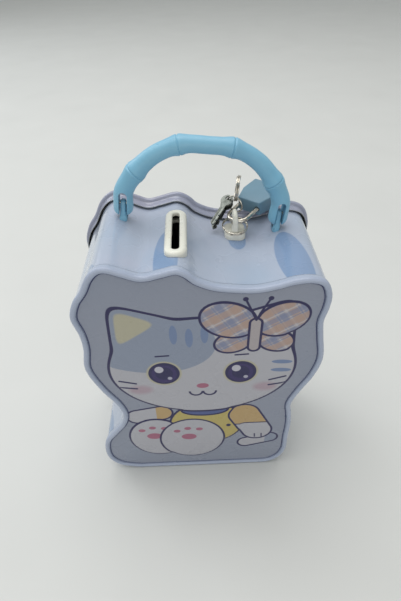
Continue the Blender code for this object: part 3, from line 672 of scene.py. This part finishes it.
def soften(bm, width, angle, segments, above=-math.inf):
    """Round the sharp edges above a height, as moulding and tumbling do."""
    edges = [e for e in bm.edges if len(e.link_faces) == 2 and e.calc_face_angle() > math.radians(angle)
             and min(v.co.z for v in e.verts) > above]
    round_off(bm, edges, width, segments)


def raised(outline, low, high, place=Matrix.Identity(4)):
    """A face from an outline, extruded from low to high along local Z."""
    bm = bmesh.new()
    face = bm.faces.new([bm.verts.new((x, y, low)) for x, y in outline])
    grown = bmesh.ops.extrude_face_region(bm, geom=[face])["geom"]
    tops = [g for g in grown if isinstance(g, bmesh.types.BMVert)]
    bmesh.ops.translate(bm, verts=tops, vec=(0.0, 0.0, high - low))
    bmesh.ops.transform(bm, matrix=place, verts=bm.verts)
    bmesh.ops.recalc_face_normals(bm, faces=bm.faces)
    return bm


def stacked(outline, places):
    """A face from an outline, set at the first place and extruded from each place to the next."""
    bm = bmesh.new()
    face = bm.faces.new([bm.verts.new((x, y, 0.0)) for x, y in outline])
    last = Matrix.Identity(4)
    for i, place in enumerate(places):
        if i:
            grown = bmesh.ops.extrude_face_region(bm, geom=[face])["geom"]
            face = next(g for g in grown if isinstance(g, bmesh.types.BMFace))
        bmesh.ops.transform(bm, matrix=place @ last.inverted(), verts=face.verts[:])
        last = place
    bmesh.ops.recalc_face_normals(bm, faces=bm.faces)
    return bm


def axes(x, y, z):
    """The turn that lays the three axes along three directions."""
    return Matrix((x, y, z)).transposed().to_4x4()


def circle(radius, centre=(0.0, 0.0), steps=28):
    angles = [2 * math.pi * i / steps for i in range(steps)]
    return [(centre[0] + radius * math.cos(a), centre[1] + radius * math.sin(a)) for a in angles]


def stadium(width, length, steps=14):
    """Outline with round ends, long along y."""
    radius = width / 2
    points = []
    for end, start in ((length / 2 - radius, 0.0), (radius - length / 2, math.pi)):
        angles = [start + math.pi * i / steps for i in range(steps + 1)]
        points += [(radius * math.cos(a), end + radius * math.sin(a)) for a in angles]
    return points


def rounded(width, length, corner, steps=6):
    """Outline of a rectangle with round corners."""
    points = []
    for sx, sy, start in ((1, 1, 0), (-1, 1, 90), (-1, -1, 180), (1, -1, 270)):
        angles = [math.radians(start + 90.0 * i / steps) for i in range(steps + 1)]
        points += [(sx * (width / 2 - corner) + corner * math.cos(a),
                    sy * (length / 2 - corner) + corner * math.sin(a)) for a in angles]
    return points


# %% [markdown]
# ## The front
#
# The front is one pressed sheet: a short flange, a rolled bead and a recessed panel. The flange and
# bead are a loop extruded through a rounded section. The panel is then cut both ways into small
# squares, so that the press's relief behind the picture can be real.

# %% Section of the front's bead
FRONT = -3.2        # y of the foremost point of the bead
GAUGE = 0.35
PANEL_Y = FRONT + 1.4
FRONT_SECTION = [(-0.6, FRONT + 4.6), (-0.3, FRONT + 3.5), (-0.05, FRONT + 2.4), (0.0, FRONT + 1.5)]
FRONT_SECTION += quarter((-1.5, FRONT + 1.5), (1.5, 1.5), 0.0)
FRONT_SECTION += quarter((-1.5, FRONT + 1.5), (1.4, 1.5), 90.0)[:-1]
FRONT_SECTION += [(-2.9, PANEL_Y + 0.15), (-3.2, PANEL_Y + 0.25), (-3.6, PANEL_Y)]


# %% Relief behind the picture
def oval_distance(x, z, centre, half, turn):
    """The same distance as the print's ovals, worked out for one point."""
    cos, sin = math.cos(math.radians(turn)), math.sin(math.radians(turn))
    dx, dz = x - centre[0], z - centre[1]
    u, v = (dx * cos + dz * sin) / half[0], (dz * cos - dx * sin) / half[1]
    size = math.hypot(u, v)
    return size * (size - 1.0) / max(math.hypot(u / half[0], v / half[1]), 0.001)


def wedge_distance(x, z, corners):
    sides = []
    for a, b in zip(corners, corners[1:] + corners[:1]):
        run = Vector((b[0] - a[0], b[1] - a[1])).normalized()
        sides.append((z - a[1]) * run.x - (x - a[0]) * run.y)
    return max(sides)


RELIEF = 0.8        # millimetres that the picture stands forward
SHOULDER = 2.6      # width of its sloping edge
PANEL_SQUARE = 1.6  # side of the squares that carry it


def relief(x, z):
    """How far the sheet stands forward at a point of the panel."""
    ovals = [HEAD, TUNIC, *SOLES, *WINGS]
    nearest = min(oval_distance(x, z, *oval) for oval in ovals)
    nearest = min([nearest] + [wedge_distance(x, z, corners) + 3.0 for corners in EARS])
    share = min(max(0.5 - nearest / SHOULDER, 0.0), 1.0)
    return RELIEF * share * share * (3 - 2 * share)


# %% Press the front
def cut_both_ways(bm, spacing):
    """Cut the panel along x and z, so that its squares are about spacing across."""
    for normal, low, high in (((1, 0, 0), -60.0, 60.0), ((0, 0, 1), 4.0, 162.0)):
        position = low
        while position <= high:
            panel = [f for f in bm.faces if f.tag]
            geometry = list({v for f in panel for v in f.verts} | {e for f in panel for e in f.edges})
            made = bmesh.ops.bisect_plane(bm, geom=geometry + panel, dist=1e-5, plane_no=normal,
                                          plane_co=[n * position for n in normal])["geom"]
            for face in (g for g in made if isinstance(g, bmesh.types.BMFace)):
                face.tag = True
            position += spacing


bm, edges = wrapped(FRONT_SECTION)
for face in bm.faces:
    face.tag = False
panel = bmesh.ops.edgeloop_fill(bm, edges=edges)["faces"]
for face in panel:
    face.tag = True
cut_both_ways(bm, PANEL_SQUARE)
depth = bm.verts.layers.float["inset"]
panel_verts = {v for f in bm.faces if f.tag for v in f.verts}
for vert in panel_verts:
    vert.co.y -= relief(vert.co.x, vert.co.z)
    if vert[depth] == 0.0:      # a new vertex of the panel, well inside the bead
        vert[depth] = 12.0
print("front panel squares:", sum(f.tag for f in bm.faces))
front = piece("pressed_front", bm, front_print, "case", ["front_panel"], inner=bare_tin)
thicken(front, GAUGE)

# %% [markdown]
# ## Wall and lid
#
# The wall is a plain strip bent round the outline, with a hole for the coin slot. The lid slips over
# its back end: a skirt, a standing bead and a flat back with a shallow step, like a biscuit tin's.

# %% Bend the wall
WALL_INSET = 0.8
SLOT_PLACE = Vector((-9.6, 26.8, 0.0))
SLOT_LENGTH, SLOT_WIDTH = 31.2, 3.6
HINGE_Y = FRONT + 55.2
BAY_HALF = 21.0     # half the width of the gap that the hinge needs in the wall's foot

wall_section = [(-WALL_INSET, FRONT + 1.35)]
wall_section += [(-WALL_INSET, FRONT + 4.7 + 13.5 * i) for i in range(4)]
wall_section += [(-WALL_INSET, FRONT + 61.0)]
bm, edges = wrapped(wall_section)
bmesh.ops.recalc_face_normals(bm, faces=bm.faces)
bmesh.ops.solidify(bm, geom=bm.faces[:], thickness=GAUGE)
slot_hole = stadium(SLOT_WIDTH + 2.6, SLOT_LENGTH + 2.6)
bm = combined(bm, raised(slot_hole, 150.0, 175.0, Matrix.Translation(SLOT_PLACE)))
bay = [(-BAY_HALF, HINGE_Y - 1.8), (BAY_HALF, HINGE_Y - 1.8),
       (BAY_HALF, FRONT + 64.0), (-BAY_HALF, FRONT + 64.0)]
bm = combined(bm, raised(bay, -1.0, 2.0))
for face in bm.faces:       # the face that looks away from the outline is the bare inside
    middle = face.calc_center_median()
    nearest = min(OUTLINE, key=lambda p: (p.x - middle.x) ** 2 + (p.y - middle.z) ** 2)
    outwards = Vector((nearest.x - middle.x, 0.0, nearest.y - middle.z))
    face.material_index = int(face.normal.dot(outwards) < 0.0)
wall = piece("bent_wall", bm, wall_print, "case", ["body_wall"], inner=bare_tin)
print("wall faces:", len(wall.data.polygons))

# %% Press the lid
LID_EDGE = FRONT + 57.9
LID_BACK = FRONT + 65.7
SKIRT = 0.65        # how far the lid's skirt stands outside the outline
LID_SECTION = [(SKIRT, LID_EDGE), (SKIRT, LID_EDGE + 2.0), (SKIRT, LID_BACK - 3.6), (0.95, LID_BACK - 3.15),
               (1.7, LID_BACK - 2.95)]
bead_middle = (1.0, LID_BACK - 1.5)
bead = quarter(bead_middle, (1.5, 1.45), -90.0) + quarter(bead_middle, (1.5, 1.45), 0.0)
LID_SECTION += [(distance, 2 * bead_middle[1] - y) for distance, y in bead]
LID_SECTION += [(-0.4, LID_BACK - 0.25), (-1.5, LID_BACK - 1.2), (-3.0, LID_BACK - 1.3),
                (-3.9, LID_BACK - 0.8), (-4.6, LID_BACK - 0.8)]
bm, edges = wrapped(LID_SECTION)
bmesh.ops.edgeloop_fill(bm, edges=edges)
lid = piece("pressed_lid", bm, lid_print, "lid", ["rear_lid"], inner=bare_tin)
thicken(lid, 0.3)

# %% [markdown]
# ## Coin slot
#
# The bezel is a thick white ring of plastic. Its foot follows the wavy wall and its lip is well
# rounded, so that a coin slides in. It starts as a stadium, is pierced, softened, and then its lower
# loop is dropped onto the wall.

# %% Mould the bezel
BEZEL_WIDTH, BEZEL_LENGTH, BEZEL_TOP = 10.4, 38.8, 165.3
bm = raised(stadium(BEZEL_WIDTH, BEZEL_LENGTH, 16), 160.0, BEZEL_TOP, Matrix.Translation(SLOT_PLACE))
mouth = stadium(SLOT_WIDTH, SLOT_LENGTH, 10)
bm = combined(bm, raised(mouth, 150.0, 175.0, Matrix.Translation(SLOT_PLACE)))
lip = [e for e in bm.edges if all(v.co.z > BEZEL_TOP - 0.01 for v in e.verts)
       and len({f.normal.z > 0.9 for f in e.link_faces}) == 2]
outer_lip = [e for e in lip if all(abs(v.co.x - SLOT_PLACE.x) > 2.5 or abs(v.co.y - SLOT_PLACE.y) > 16.5
                                   for v in e.verts)]
round_off(bm, outer_lip, 1.9, 6)
inner_lip = [e for e in bm.edges if all(v.co.z > BEZEL_TOP - 0.01 for v in e.verts)
             and any(abs(f.normal.z) < 0.1 for f in e.link_faces)]
round_off(bm, inner_lip, 0.7, 4)
for vert in (v for v in bm.verts if v.co.z < 161.0):
    vert.co.z = top_height(vert.co.x, -WALL_INSET) + 0.1
piece("white_bezel", bm, white_plastic, "case", ["slot_bezel"])
print("bezel stands", round(BEZEL_TOP - top_height(SLOT_PLACE.x, -WALL_INSET), 1), "mm above the wall")

# %% [markdown]
# ## Handle
#
# The grip is moulded to look like bent bamboo: a round section swept along an arch, a little fatter at
# each joint of the cane, with a fine line cut round it there. The section is one circle, extruded and
# turned from station to station. Each end is forked, and a lug stands in the fork.

# %% The arch and its sections
PIVOTS = Vector((-34.3, 41.3, 172.3)), Vector((41.1, 41.3, 163.6))
AXIS = (PIVOTS[1] - PIVOTS[0]).normalized()
RISE = Vector((-AXIS.z, 0.0, AXIS.x))
MIDDLE = (PIVOTS[0] + PIVOTS[1]) / 2
HALF_SPAN = (PIVOTS[1] - PIVOTS[0]).length / 2
LEG_END = -5.0
LEG_RADIUS, TOP_RADIUS, HANDLE_RISE = 4.75, 3.85, 30.9
RING_BULGE, RING_LINE = 0.8, 0.4      # how much the cane swells at a joint, and its line's depth
TIP_LENGTH = 2.6
CANE_JOINTS = [(-32.2, 16.2), (-13.4, 29.9), (11.0, 30.4), (32.1, 16.3)]
HALF_ARCH = [(HALF_SPAN, LEG_END - 5.0), (HALF_SPAN, LEG_END), (HALF_SPAN, 0.0), (37.4, 7.0),
             (31.8, 16.5), (23.3, 25.1), (12.3, 30.3), (0.0, HANDLE_RISE)]


def sweep(path, radii, sides, side):
    """Extrude a circle along a path, turning and scaling it at each station."""
    bm = bmesh.new()
    bmesh.ops.create_circle(bm, cap_ends=True, radius=1.0, segments=sides)
    edges, verts = bm.edges[:], bm.verts[:]
    last = Matrix.Identity(4)
    for i, (point, radius) in enumerate(zip(path, radii)):
        forward = (path[min(i + 1, len(path) - 1)] - path[max(i - 1, 0)]).normalized()
        side = (side - forward * side.dot(forward)).normalized()
        turn = axes(side, forward.cross(side), forward)
        here = Matrix.Translation(point) @ turn @ Matrix.Scale(radius, 4)
        if i:
            grown = bmesh.ops.extrude_edge_only(bm, edges=edges)["geom"]
            verts = [g for g in grown if isinstance(g, bmesh.types.BMVert)]
            edges = [e for e in {e for v in verts for e in v.link_edges}
                     if all(v in verts for v in e.verts)]
        bmesh.ops.transform(bm, matrix=here @ last.inverted(), verts=verts)
        last = here
    bmesh.ops.edgeloop_fill(bm, edges=edges)
    bmesh.ops.recalc_face_normals(bm, faces=bm.faces)
    return bm


half = [Vector(k) for k in HALF_ARCH]
arch_knots = [Vector((-k.x, k.y)) for k in half] + half[-2::-1]
arch = smooth_path(arch_knots, 24)
run = lengths_of(arch)
joints_at = [run[min(range(len(arch)), key=lambda i: (arch[i] - Vector(joint)).length)]
             for joint in CANE_JOINTS]

stations = {0.0, 0.25, 0.6, 1.1, 1.8, TIP_LENGTH}
stations |= {run[-1] - s for s in stations}
stations |= {3.2 + 1.6 * i for i in range(int((run[-1] - 6.4) / 1.6) + 1)}
stations |= {at + 0.22 * k for at in joints_at for k in range(-5, 6)}
stations = sorted(stations)


def cane_radius(at):
    """Radius of the grip at a distance along it."""
    near = min(abs(at - joint) for joint in joints_at)
    share = min(max(at_length(arch, run, at).y / HANDLE_RISE, 0.0), 1.0)
    radius = LEG_RADIUS + (TOP_RADIUS - LEG_RADIUS) * share
    radius += RING_BULGE * math.exp(-(near / 3.0) ** 2) - RING_LINE * math.exp(-(near / 0.3) ** 2)
    rounding = 1.0 - min(min(at, run[-1] - at) / TIP_LENGTH, 1.0)
    return radius * math.sqrt(1.0 - 0.42 * rounding ** 2)


print("cane is", round(run[-1]), "mm long with", len(stations), "sections")

# %% Mould the grip
FORK_WIDTH, FORK_TOP = 3.9, 7.2
PIN_REACH = 3.9     # how far a pin runs each way from the middle of its lug


def on_handle(u, v):
    return MIDDLE + AXIS * u + RISE * v


path = [on_handle(p.x, p.y) for p in (at_length(arch, run, s) for s in stations)]
bm = sweep(path, [cane_radius(s) for s in stations], 32, Vector((0.0, 1.0, 0.0)))
fork_round = FORK_WIDTH / 2
fork = [(fork_round, LEG_END - 3.0)]
fork += [(x, FORK_TOP - fork_round + y) for x, y in circle(fork_round, steps=24)[:13]]
fork += [(-fork_round, LEG_END - 3.0)]
for pivot in PIVOTS:
    here = Matrix.Translation(pivot)
    bm = combined(bm, raised(fork, -8.0, 8.0, here @ axes(AXIS, RISE, AXIS.cross(RISE))))
    turn = Vector((0.0, 0.0, 1.0)).rotation_difference(AXIS).to_matrix().to_4x4()
    bm = combined(bm, raised(circle(0.95, steps=16), -PIN_REACH - 0.05, PIN_REACH + 0.05, here @ turn))


piece("bamboo_grip", bm, handle_plastic, "handle", ["handle_grip"], sharp=42.0)

# %% [markdown]
# ### Lugs and pins
#
# Each lug is a small standing fin, thick at its foot and rounded at its top, on which the handle turns.
# It grows from one square by extruding it upwards and narrowing it.

# %% Lugs
for side_name, pivot in zip(("left", "right"), PIVOTS):
    drop = pivot.z - top_height(pivot.x, -WALL_INSET)
    foot_x = pivot.x - drop * RISE.x / RISE.z
    foot_rise = top_height(foot_x, -WALL_INSET) - pivot.z - 0.6
    lug_stations = [(foot_rise, 1.95, 3.4), (-6.9, 1.9, 3.3), (-5.0, 1.55, 2.9), (-2.5, 1.42, 2.55),
                    (0.0, 1.3, 2.1), (1.1, 1.15, 1.7), (1.7, 0.95, 1.2)]
    turn = axes(AXIS, Vector((0.0, 1.0, 0.0)), RISE)
    bm = stacked(rounded(2.0, 2.0, 0.5, 3), [
        Matrix.Translation(pivot + RISE * rise) @ turn @ Matrix.Diagonal((half_x, half_y, 1.0, 1.0))
        for rise, half_x, half_y in lug_stations])
    soften(bm, 0.3, 35.0, 2)
    piece(f"fin_{side_name}", bm, handle_plastic, "case", [f"handle_lug_{side_name}"])

    ends = [pivot - AXIS * (PIN_REACH - back) for back in (0.0, 0.15, 0.5)]
    ends += [2 * pivot - end for end in ends[::-1]]
    bm = sweep(ends, [0.5, 0.74, 0.8, 0.8, 0.74, 0.5], 20, Vector((0.0, 1.0, 0.0)))
    piece(f"pivot_{side_name}", bm, plated_wire, "handle", [f"handle_pin_{side_name}"])
print("two lugs, two pins")

# %% [markdown]
# ## Staple and ear
#
# The staple is a thick white plate with a standing fin, pierced by a long eye for the shackle. The ear
# on the lid's skirt is the same idea in small: when the box is locked the shackle goes through both.

# %% Staple
STAPLE = Vector((19.6, 42.3, 0.0))
FIN_Y = 41.3
EYE = Vector((18.8, 41.2, 160.2))
SIDEWAYS = Matrix(((0, 0, 1, 0), (1, 0, 0, 0), (0, 1, 0, 0), (0, 0, 0, 1)))


def fin_of(x, y, corner, stations):
    """An upright fin at x, y from stations of (height, half x, half y)."""
    return stacked(rounded(2.0, 2.0, corner, 4), [
        Matrix.Translation((x, y, height)) @ Matrix.Diagonal((half_x, half_y, 1.0, 1.0))
        for height, half_x, half_y in stations])


bm = raised(rounded(10.6, 12.4, 3.4, 8), 150.5, 154.7, Matrix.Translation(STAPLE))
soften(bm, 0.9, 60.0, 4, above=154.6)
fin = fin_of(STAPLE.x, FIN_Y, 0.5, [(153.6, 1.85, 4.4), (158.0, 1.6, 4.25), (162.0, 1.38, 4.0),
                                    (164.2, 1.15, 3.3), (165.0, 0.85, 2.6), (165.4, 0.5, 1.9)])
bm = combined(bm, fin, "UNION")
eye = [(y, z) for z, y in stadium(4.3, 6.2, 10)]
bm = combined(bm, raised(eye, -4.0, 5.0, Matrix.Translation(EYE) @ SIDEWAYS))
for vert in (v for v in bm.verts if v.co.z < 151.0):
    vert.co.z = top_height(vert.co.x, -WALL_INSET) + 0.05
piece("white_staple", bm, white_plastic, "case", ["lock_staple"])

# %% Ear on the lid
EAR = Vector((21.3, 57.2, 156.9))     # middle of the ear's hole
EAR_FOOT = top_height(EAR.x, SKIRT) - 0.1
bm = fin_of(EAR.x, EAR.y, 0.4, [(EAR_FOOT, 1.0, 2.35), (158.3, 0.9, 2.1), (158.9, 0.75, 1.7),
                                (159.3, 0.45, 1.1)])
bm = combined(bm, raised(circle(1.3, steps=20), -3.0, 3.0, Matrix.Translation(EAR) @ SIDEWAYS))
piece("white_ear", bm, white_plastic, "lid", ["lid_ear"])
print("staple and ear stand on", round(EAR_FOOT, 1), "mm")

# %% [markdown]
# ## Padlock
#
# A toy-sized padlock with a moulded, faceted body. It hangs from the staple by its wire shackle and
# lies back over the lid. Its body is one outline raised both ways from its middle plane, with every
# edge rounded, bored for the two legs and for the key plug.

# %% The padlock's own frame
LOCK_HEADING, LOCK_PITCH = math.radians(39.0), math.radians(6.0)
ACROSS = Vector((math.cos(LOCK_HEADING), -math.sin(LOCK_HEADING), 0.0))
ALONG = Vector((math.sin(LOCK_HEADING) * math.cos(LOCK_PITCH),
                math.cos(LOCK_HEADING) * math.cos(LOCK_PITCH), math.sin(LOCK_PITCH)))
UP = ACROSS.cross(ALONG)
BOW, WIRE, LOCK_START, LOCK_LENGTH, LOCK_THICK = 5.0, 1.1, 14.0, 19.4, 7.5
LOCK_END = EYE + ALONG * LOCK_START
LOCK_FLAT = Matrix.Translation(LOCK_END) @ axes(ACROSS, ALONG, UP)
LOCK_DOWN = Matrix.Translation(LOCK_END) @ axes(ACROSS, UP, -ALONG)
PLUG_SHIFT = 1.8    # how far the key plug is off the middle


def in_lock(u, v, h=0.0):
    return LOCK_END + ACROSS * u + ALONG * v + UP * h


# %% Mould the padlock's body
shape = [(-6.4, 0.0), (6.4, 0.0), (8.8, 8.8), (8.0, LOCK_LENGTH), (-8.0, LOCK_LENGTH), (-8.8, 8.8)]
bm = raised(shape, -LOCK_THICK / 2, LOCK_THICK / 2, LOCK_FLAT)
soften(bm, 0.6, 20.0, 4)
for sign, depth in ((-1, 16.5), (1, 5.1)):
    bm = combined(bm, raised(circle(WIRE + 0.3, (sign * BOW, 0.0)), -depth, 2.0, LOCK_DOWN))
bm = combined(bm, raised(circle(2.9, (PLUG_SHIFT, 0.0)), -LOCK_LENGTH - 2.0, -9.4, LOCK_DOWN))
piece("moulded_padlock", bm, lock_plastic, "lock", ["padlock_body"], sharp=50.0)

# %% Bend the shackle and turn the key plug
bow = [in_lock(-BOW * math.cos(a), -LOCK_START + BOW - BOW * math.sin(a))
       for a in (math.pi * i / 24 for i in range(25))]
path = [in_lock(-BOW, 12.5), in_lock(-BOW, 12.1)] + bow + [in_lock(BOW, 4.1), in_lock(BOW, 4.5)]
bm = sweep(path, [0.7] + [WIRE] * (len(path) - 2) + [0.7], 20, UP)
piece("wire_shackle", bm, plated_wire, "shackle", ["padlock_shackle"])

path = [in_lock(PLUG_SHIFT, LOCK_LENGTH + past) for past in (-9.5, -0.1, 0.2)]
bm = sweep(path, [2.6, 2.6, 2.35], 28, UP)
keyway = [(PLUG_SHIFT + x, y) for x, y in ((-0.55, -1.7), (0.55, -1.7), (0.55, 1.7), (-0.55, 1.7))]
bm = combined(bm, raised(keyway, -LOCK_LENGTH - 2.0, -13.4, LOCK_DOWN))
piece("key_plug", bm, plated_wire, "key_plug", ["padlock_key_plug"])
print("padlock is", LOCK_LENGTH, "mm long")

# %% [markdown]
# ## Rings and keys
#
# A key ring is a spring: round wire wound nearly twice round, so that its ends overlap. It is swept
# along a helix. The small link is a plain closed ring, made by spinning a circle. The keys are
# stamped from sheet, and tumbling has rounded their edges.

# %% Wind the rings
LINK_RADIUS, SPLIT_RADIUS = 4.4, 6.0
LEG_AT = EYE - ACROSS * BOW + ALONG * 8.6
LINK_AT = LEG_AT + Vector((0.0, 0.0, 2.7))
SPLIT_AT = LINK_AT + Vector((1.1, 1.0, 8.1))
STAPLE_RING_AT = Vector((19.8, 42.3, 156.3))


def wound_ring(centre, normal, radius, wire, turns, start):
    """A helix of touching turns round normal, with tapered ends."""
    normal = Vector(normal).normalized()
    first = normal.orthogonal().normalized()
    second = normal.cross(first)
    steps = int(40 * turns)
    path, radii = [], []
    for i in range(steps + 1):
        angle = math.radians(start) + 2 * math.pi * turns * i / steps
        lift = (i / steps - 0.5) * turns * wire * 2.05
        path.append(centre + radius * (math.cos(angle) * first + math.sin(angle) * second) + normal * lift)
        radii.append(wire * (0.6 if i in (0, steps) else 1.0))
    return sweep(path, radii, 12, normal)


def closed_ring(centre, normal, radius, wire):
    """A circle of wire spun once round normal."""
    normal = Vector(normal).normalized()
    out = normal.orthogonal().normalized()
    bm = bmesh.new()
    bmesh.ops.create_circle(bm, radius=wire, segments=12)
    stand = Matrix.Translation(centre + out * radius) @ axes(out, normal, out.cross(normal))
    bmesh.ops.transform(bm, matrix=stand, verts=bm.verts)
    bmesh.ops.spin(bm, geom=bm.edges[:], cent=centre, axis=normal, angle=2 * math.pi, steps=48,
                   use_merge=True)
    bmesh.ops.remove_doubles(bm, verts=bm.verts, dist=0.001)
    return bm


bm = wound_ring(STAPLE_RING_AT, (0.0, math.sin(math.radians(-8.0)), 1.0), 6.3, 0.36, 1.9, 200.0)
piece("ring_on_staple", bm, plated_wire, "loose_ring", ["staple_ring"])
bm = closed_ring(LINK_AT, ALONG, LINK_RADIUS, 0.45)
piece("ring_on_shackle", bm, plated_wire, "link", ["link_ring"])
bm = wound_ring(SPLIT_AT, (0.99, -0.1, -0.12), SPLIT_RADIUS, 0.45, 1.95, 40.0)
piece("ring_for_keys", bm, plated_wire, "key_ring", ["split_ring"])


# %% Stamp the keys
def stamped_key(name, node, body, angle, along):
    """Round bow with a hole and a notched blade, lying in the padlock's plane."""
    out = ACROSS * math.cos(math.radians(angle)) + UP * math.sin(math.radians(angle))
    hole_at = LINK_AT + out * LINK_RADIUS
    along = Vector(along).normalized()
    face = (UP - along * UP.dot(along)).normalized()
    place = Matrix.Translation(hole_at) @ axes(face.cross(along), along, face)
    bow_radius, blade, length, centre = 3.3, 1.3, 17.0, 1.3
    start = math.asin(blade / bow_radius)
    outline = [(bow_radius * math.sin(a), centre + bow_radius * math.cos(a))
               for a in (start + (2 * math.pi - 2 * start) * i / 32 for i in range(33))]
    outline += [(-blade, length - 1.2), (0.0, length), (blade, length - 1.2), (blade, length - 2.2),
                (0.5, length - 2.9), (blade, length - 3.6), (blade, length - 5.2), (0.4, length - 5.9),
                (blade, length - 6.6)]
    bm = raised(outline, -0.45, 0.45, place)
    groove = [(-0.25, 6.0), (0.15, 6.0), (0.15, length), (-0.25, length)]
    bm = combined(bm, raised(groove, 0.25, 1.0, place))
    bm = combined(bm, raised(circle(1.3), -2.0, 2.0, place))
    soften(bm, 0.12, 60.0, 2)
    piece(name, bm, key_metal, body, [node])


stamped_key("stamped_key_1", "key_1", "first_key", 186.0, (-0.48, -0.72, -0.45))
stamped_key("stamped_key_2", "key_2", "second_key", 154.0, (-0.53, -0.70, -0.43))
print("three rings, two keys")

# %% [markdown]
# ## Hidden fittings
#
# The hinge, the washers, the bezel's retainer and the lock's spring already have the right shape in
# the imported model. They keep it, and take the same worked finishes as the pieces that show.

# %% Finishes for the fittings inside
STEEL_FITTINGS = ("hinge_leaf_case", "hinge_leaf_lid", "hinge_pin", "lug_washer_left", "lug_washer_right",
                  "staple_washer", "padlock_spring")
for name in (*STEEL_FITTINGS, "slot_retainer"):
    finish = plated_wire if name in STEEL_FITTINGS else white_plastic
    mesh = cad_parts[name].data
    mesh.materials.clear()
    mesh.materials.append(finish.material)

# %% [markdown]
# ## Table and light
#
# A pale table runs back out of sight. The light is a large soft ceiling with a weaker window behind
# and to the left, so the tops are bright. A still weaker panel in front stands in for the near wall of
# the room, and keeps the front's soft shade from going dark.

# %% Table
bm = bmesh.new()
bmesh.ops.create_grid(bm, x_segments=1, y_segments=1, size=6.0)
table_mesh = bpy.data.meshes.new("table")
bm.to_mesh(table_mesh)
bm.free()
table_finish = Finish("table_paint", srgb(203, 204, 202), 0.7)
paint = tone(table_finish, srgb(203, 204, 202), srgb(206, 207, 205), srgb(200, 201, 199), 90.0)
table_finish.connect("Base Color", paint)
table_mesh.materials.append(table_finish.material)
table = bpy.data.objects.new("table", table_mesh)
table.location.z = -0.3 * MM
bpy.context.scene.collection.objects.link(table)


# %% Lights
def soft_light(name, place, aim, size, power, colour):
    data = bpy.data.lights.new(name, "AREA")
    data.shape = "RECTANGLE"
    data.size, data.size_y = size
    data.energy = power
    data.color = colour
    light = bpy.data.objects.new(name, data)
    light.location = place
    light.rotation_euler = (Vector(aim) - Vector(place)).to_track_quat("-Z", "Y").to_euler()
    bpy.context.scene.collection.objects.link(light)


soft_light("ceiling", (-0.2, 0.25, 1.5), (0.0, 0.03, 0.1), (1.6, 1.2), 17.0, (1.0, 0.99, 0.97))
soft_light("near_wall", (0.1, -1.4, 0.5), (0.0, 0.0, 0.08), (1.4, 0.8), 4.2, (1.0, 0.99, 0.98))
soft_light("window", (-1.3, 1.0, 0.9), (0.0, 0.03, 0.1), (0.8, 1.0), 7.0, (0.93, 0.97, 1.0))

world = bpy.data.worlds.new("room")
world.use_nodes = True
world.node_tree.nodes["Background"].inputs["Color"].default_value = (0.93, 0.96, 0.95, 1.0)
world.node_tree.nodes["Background"].inputs["Strength"].default_value = 0.5
bpy.context.scene.world = world
bpy.context.scene.view_settings.view_transform = "Standard"
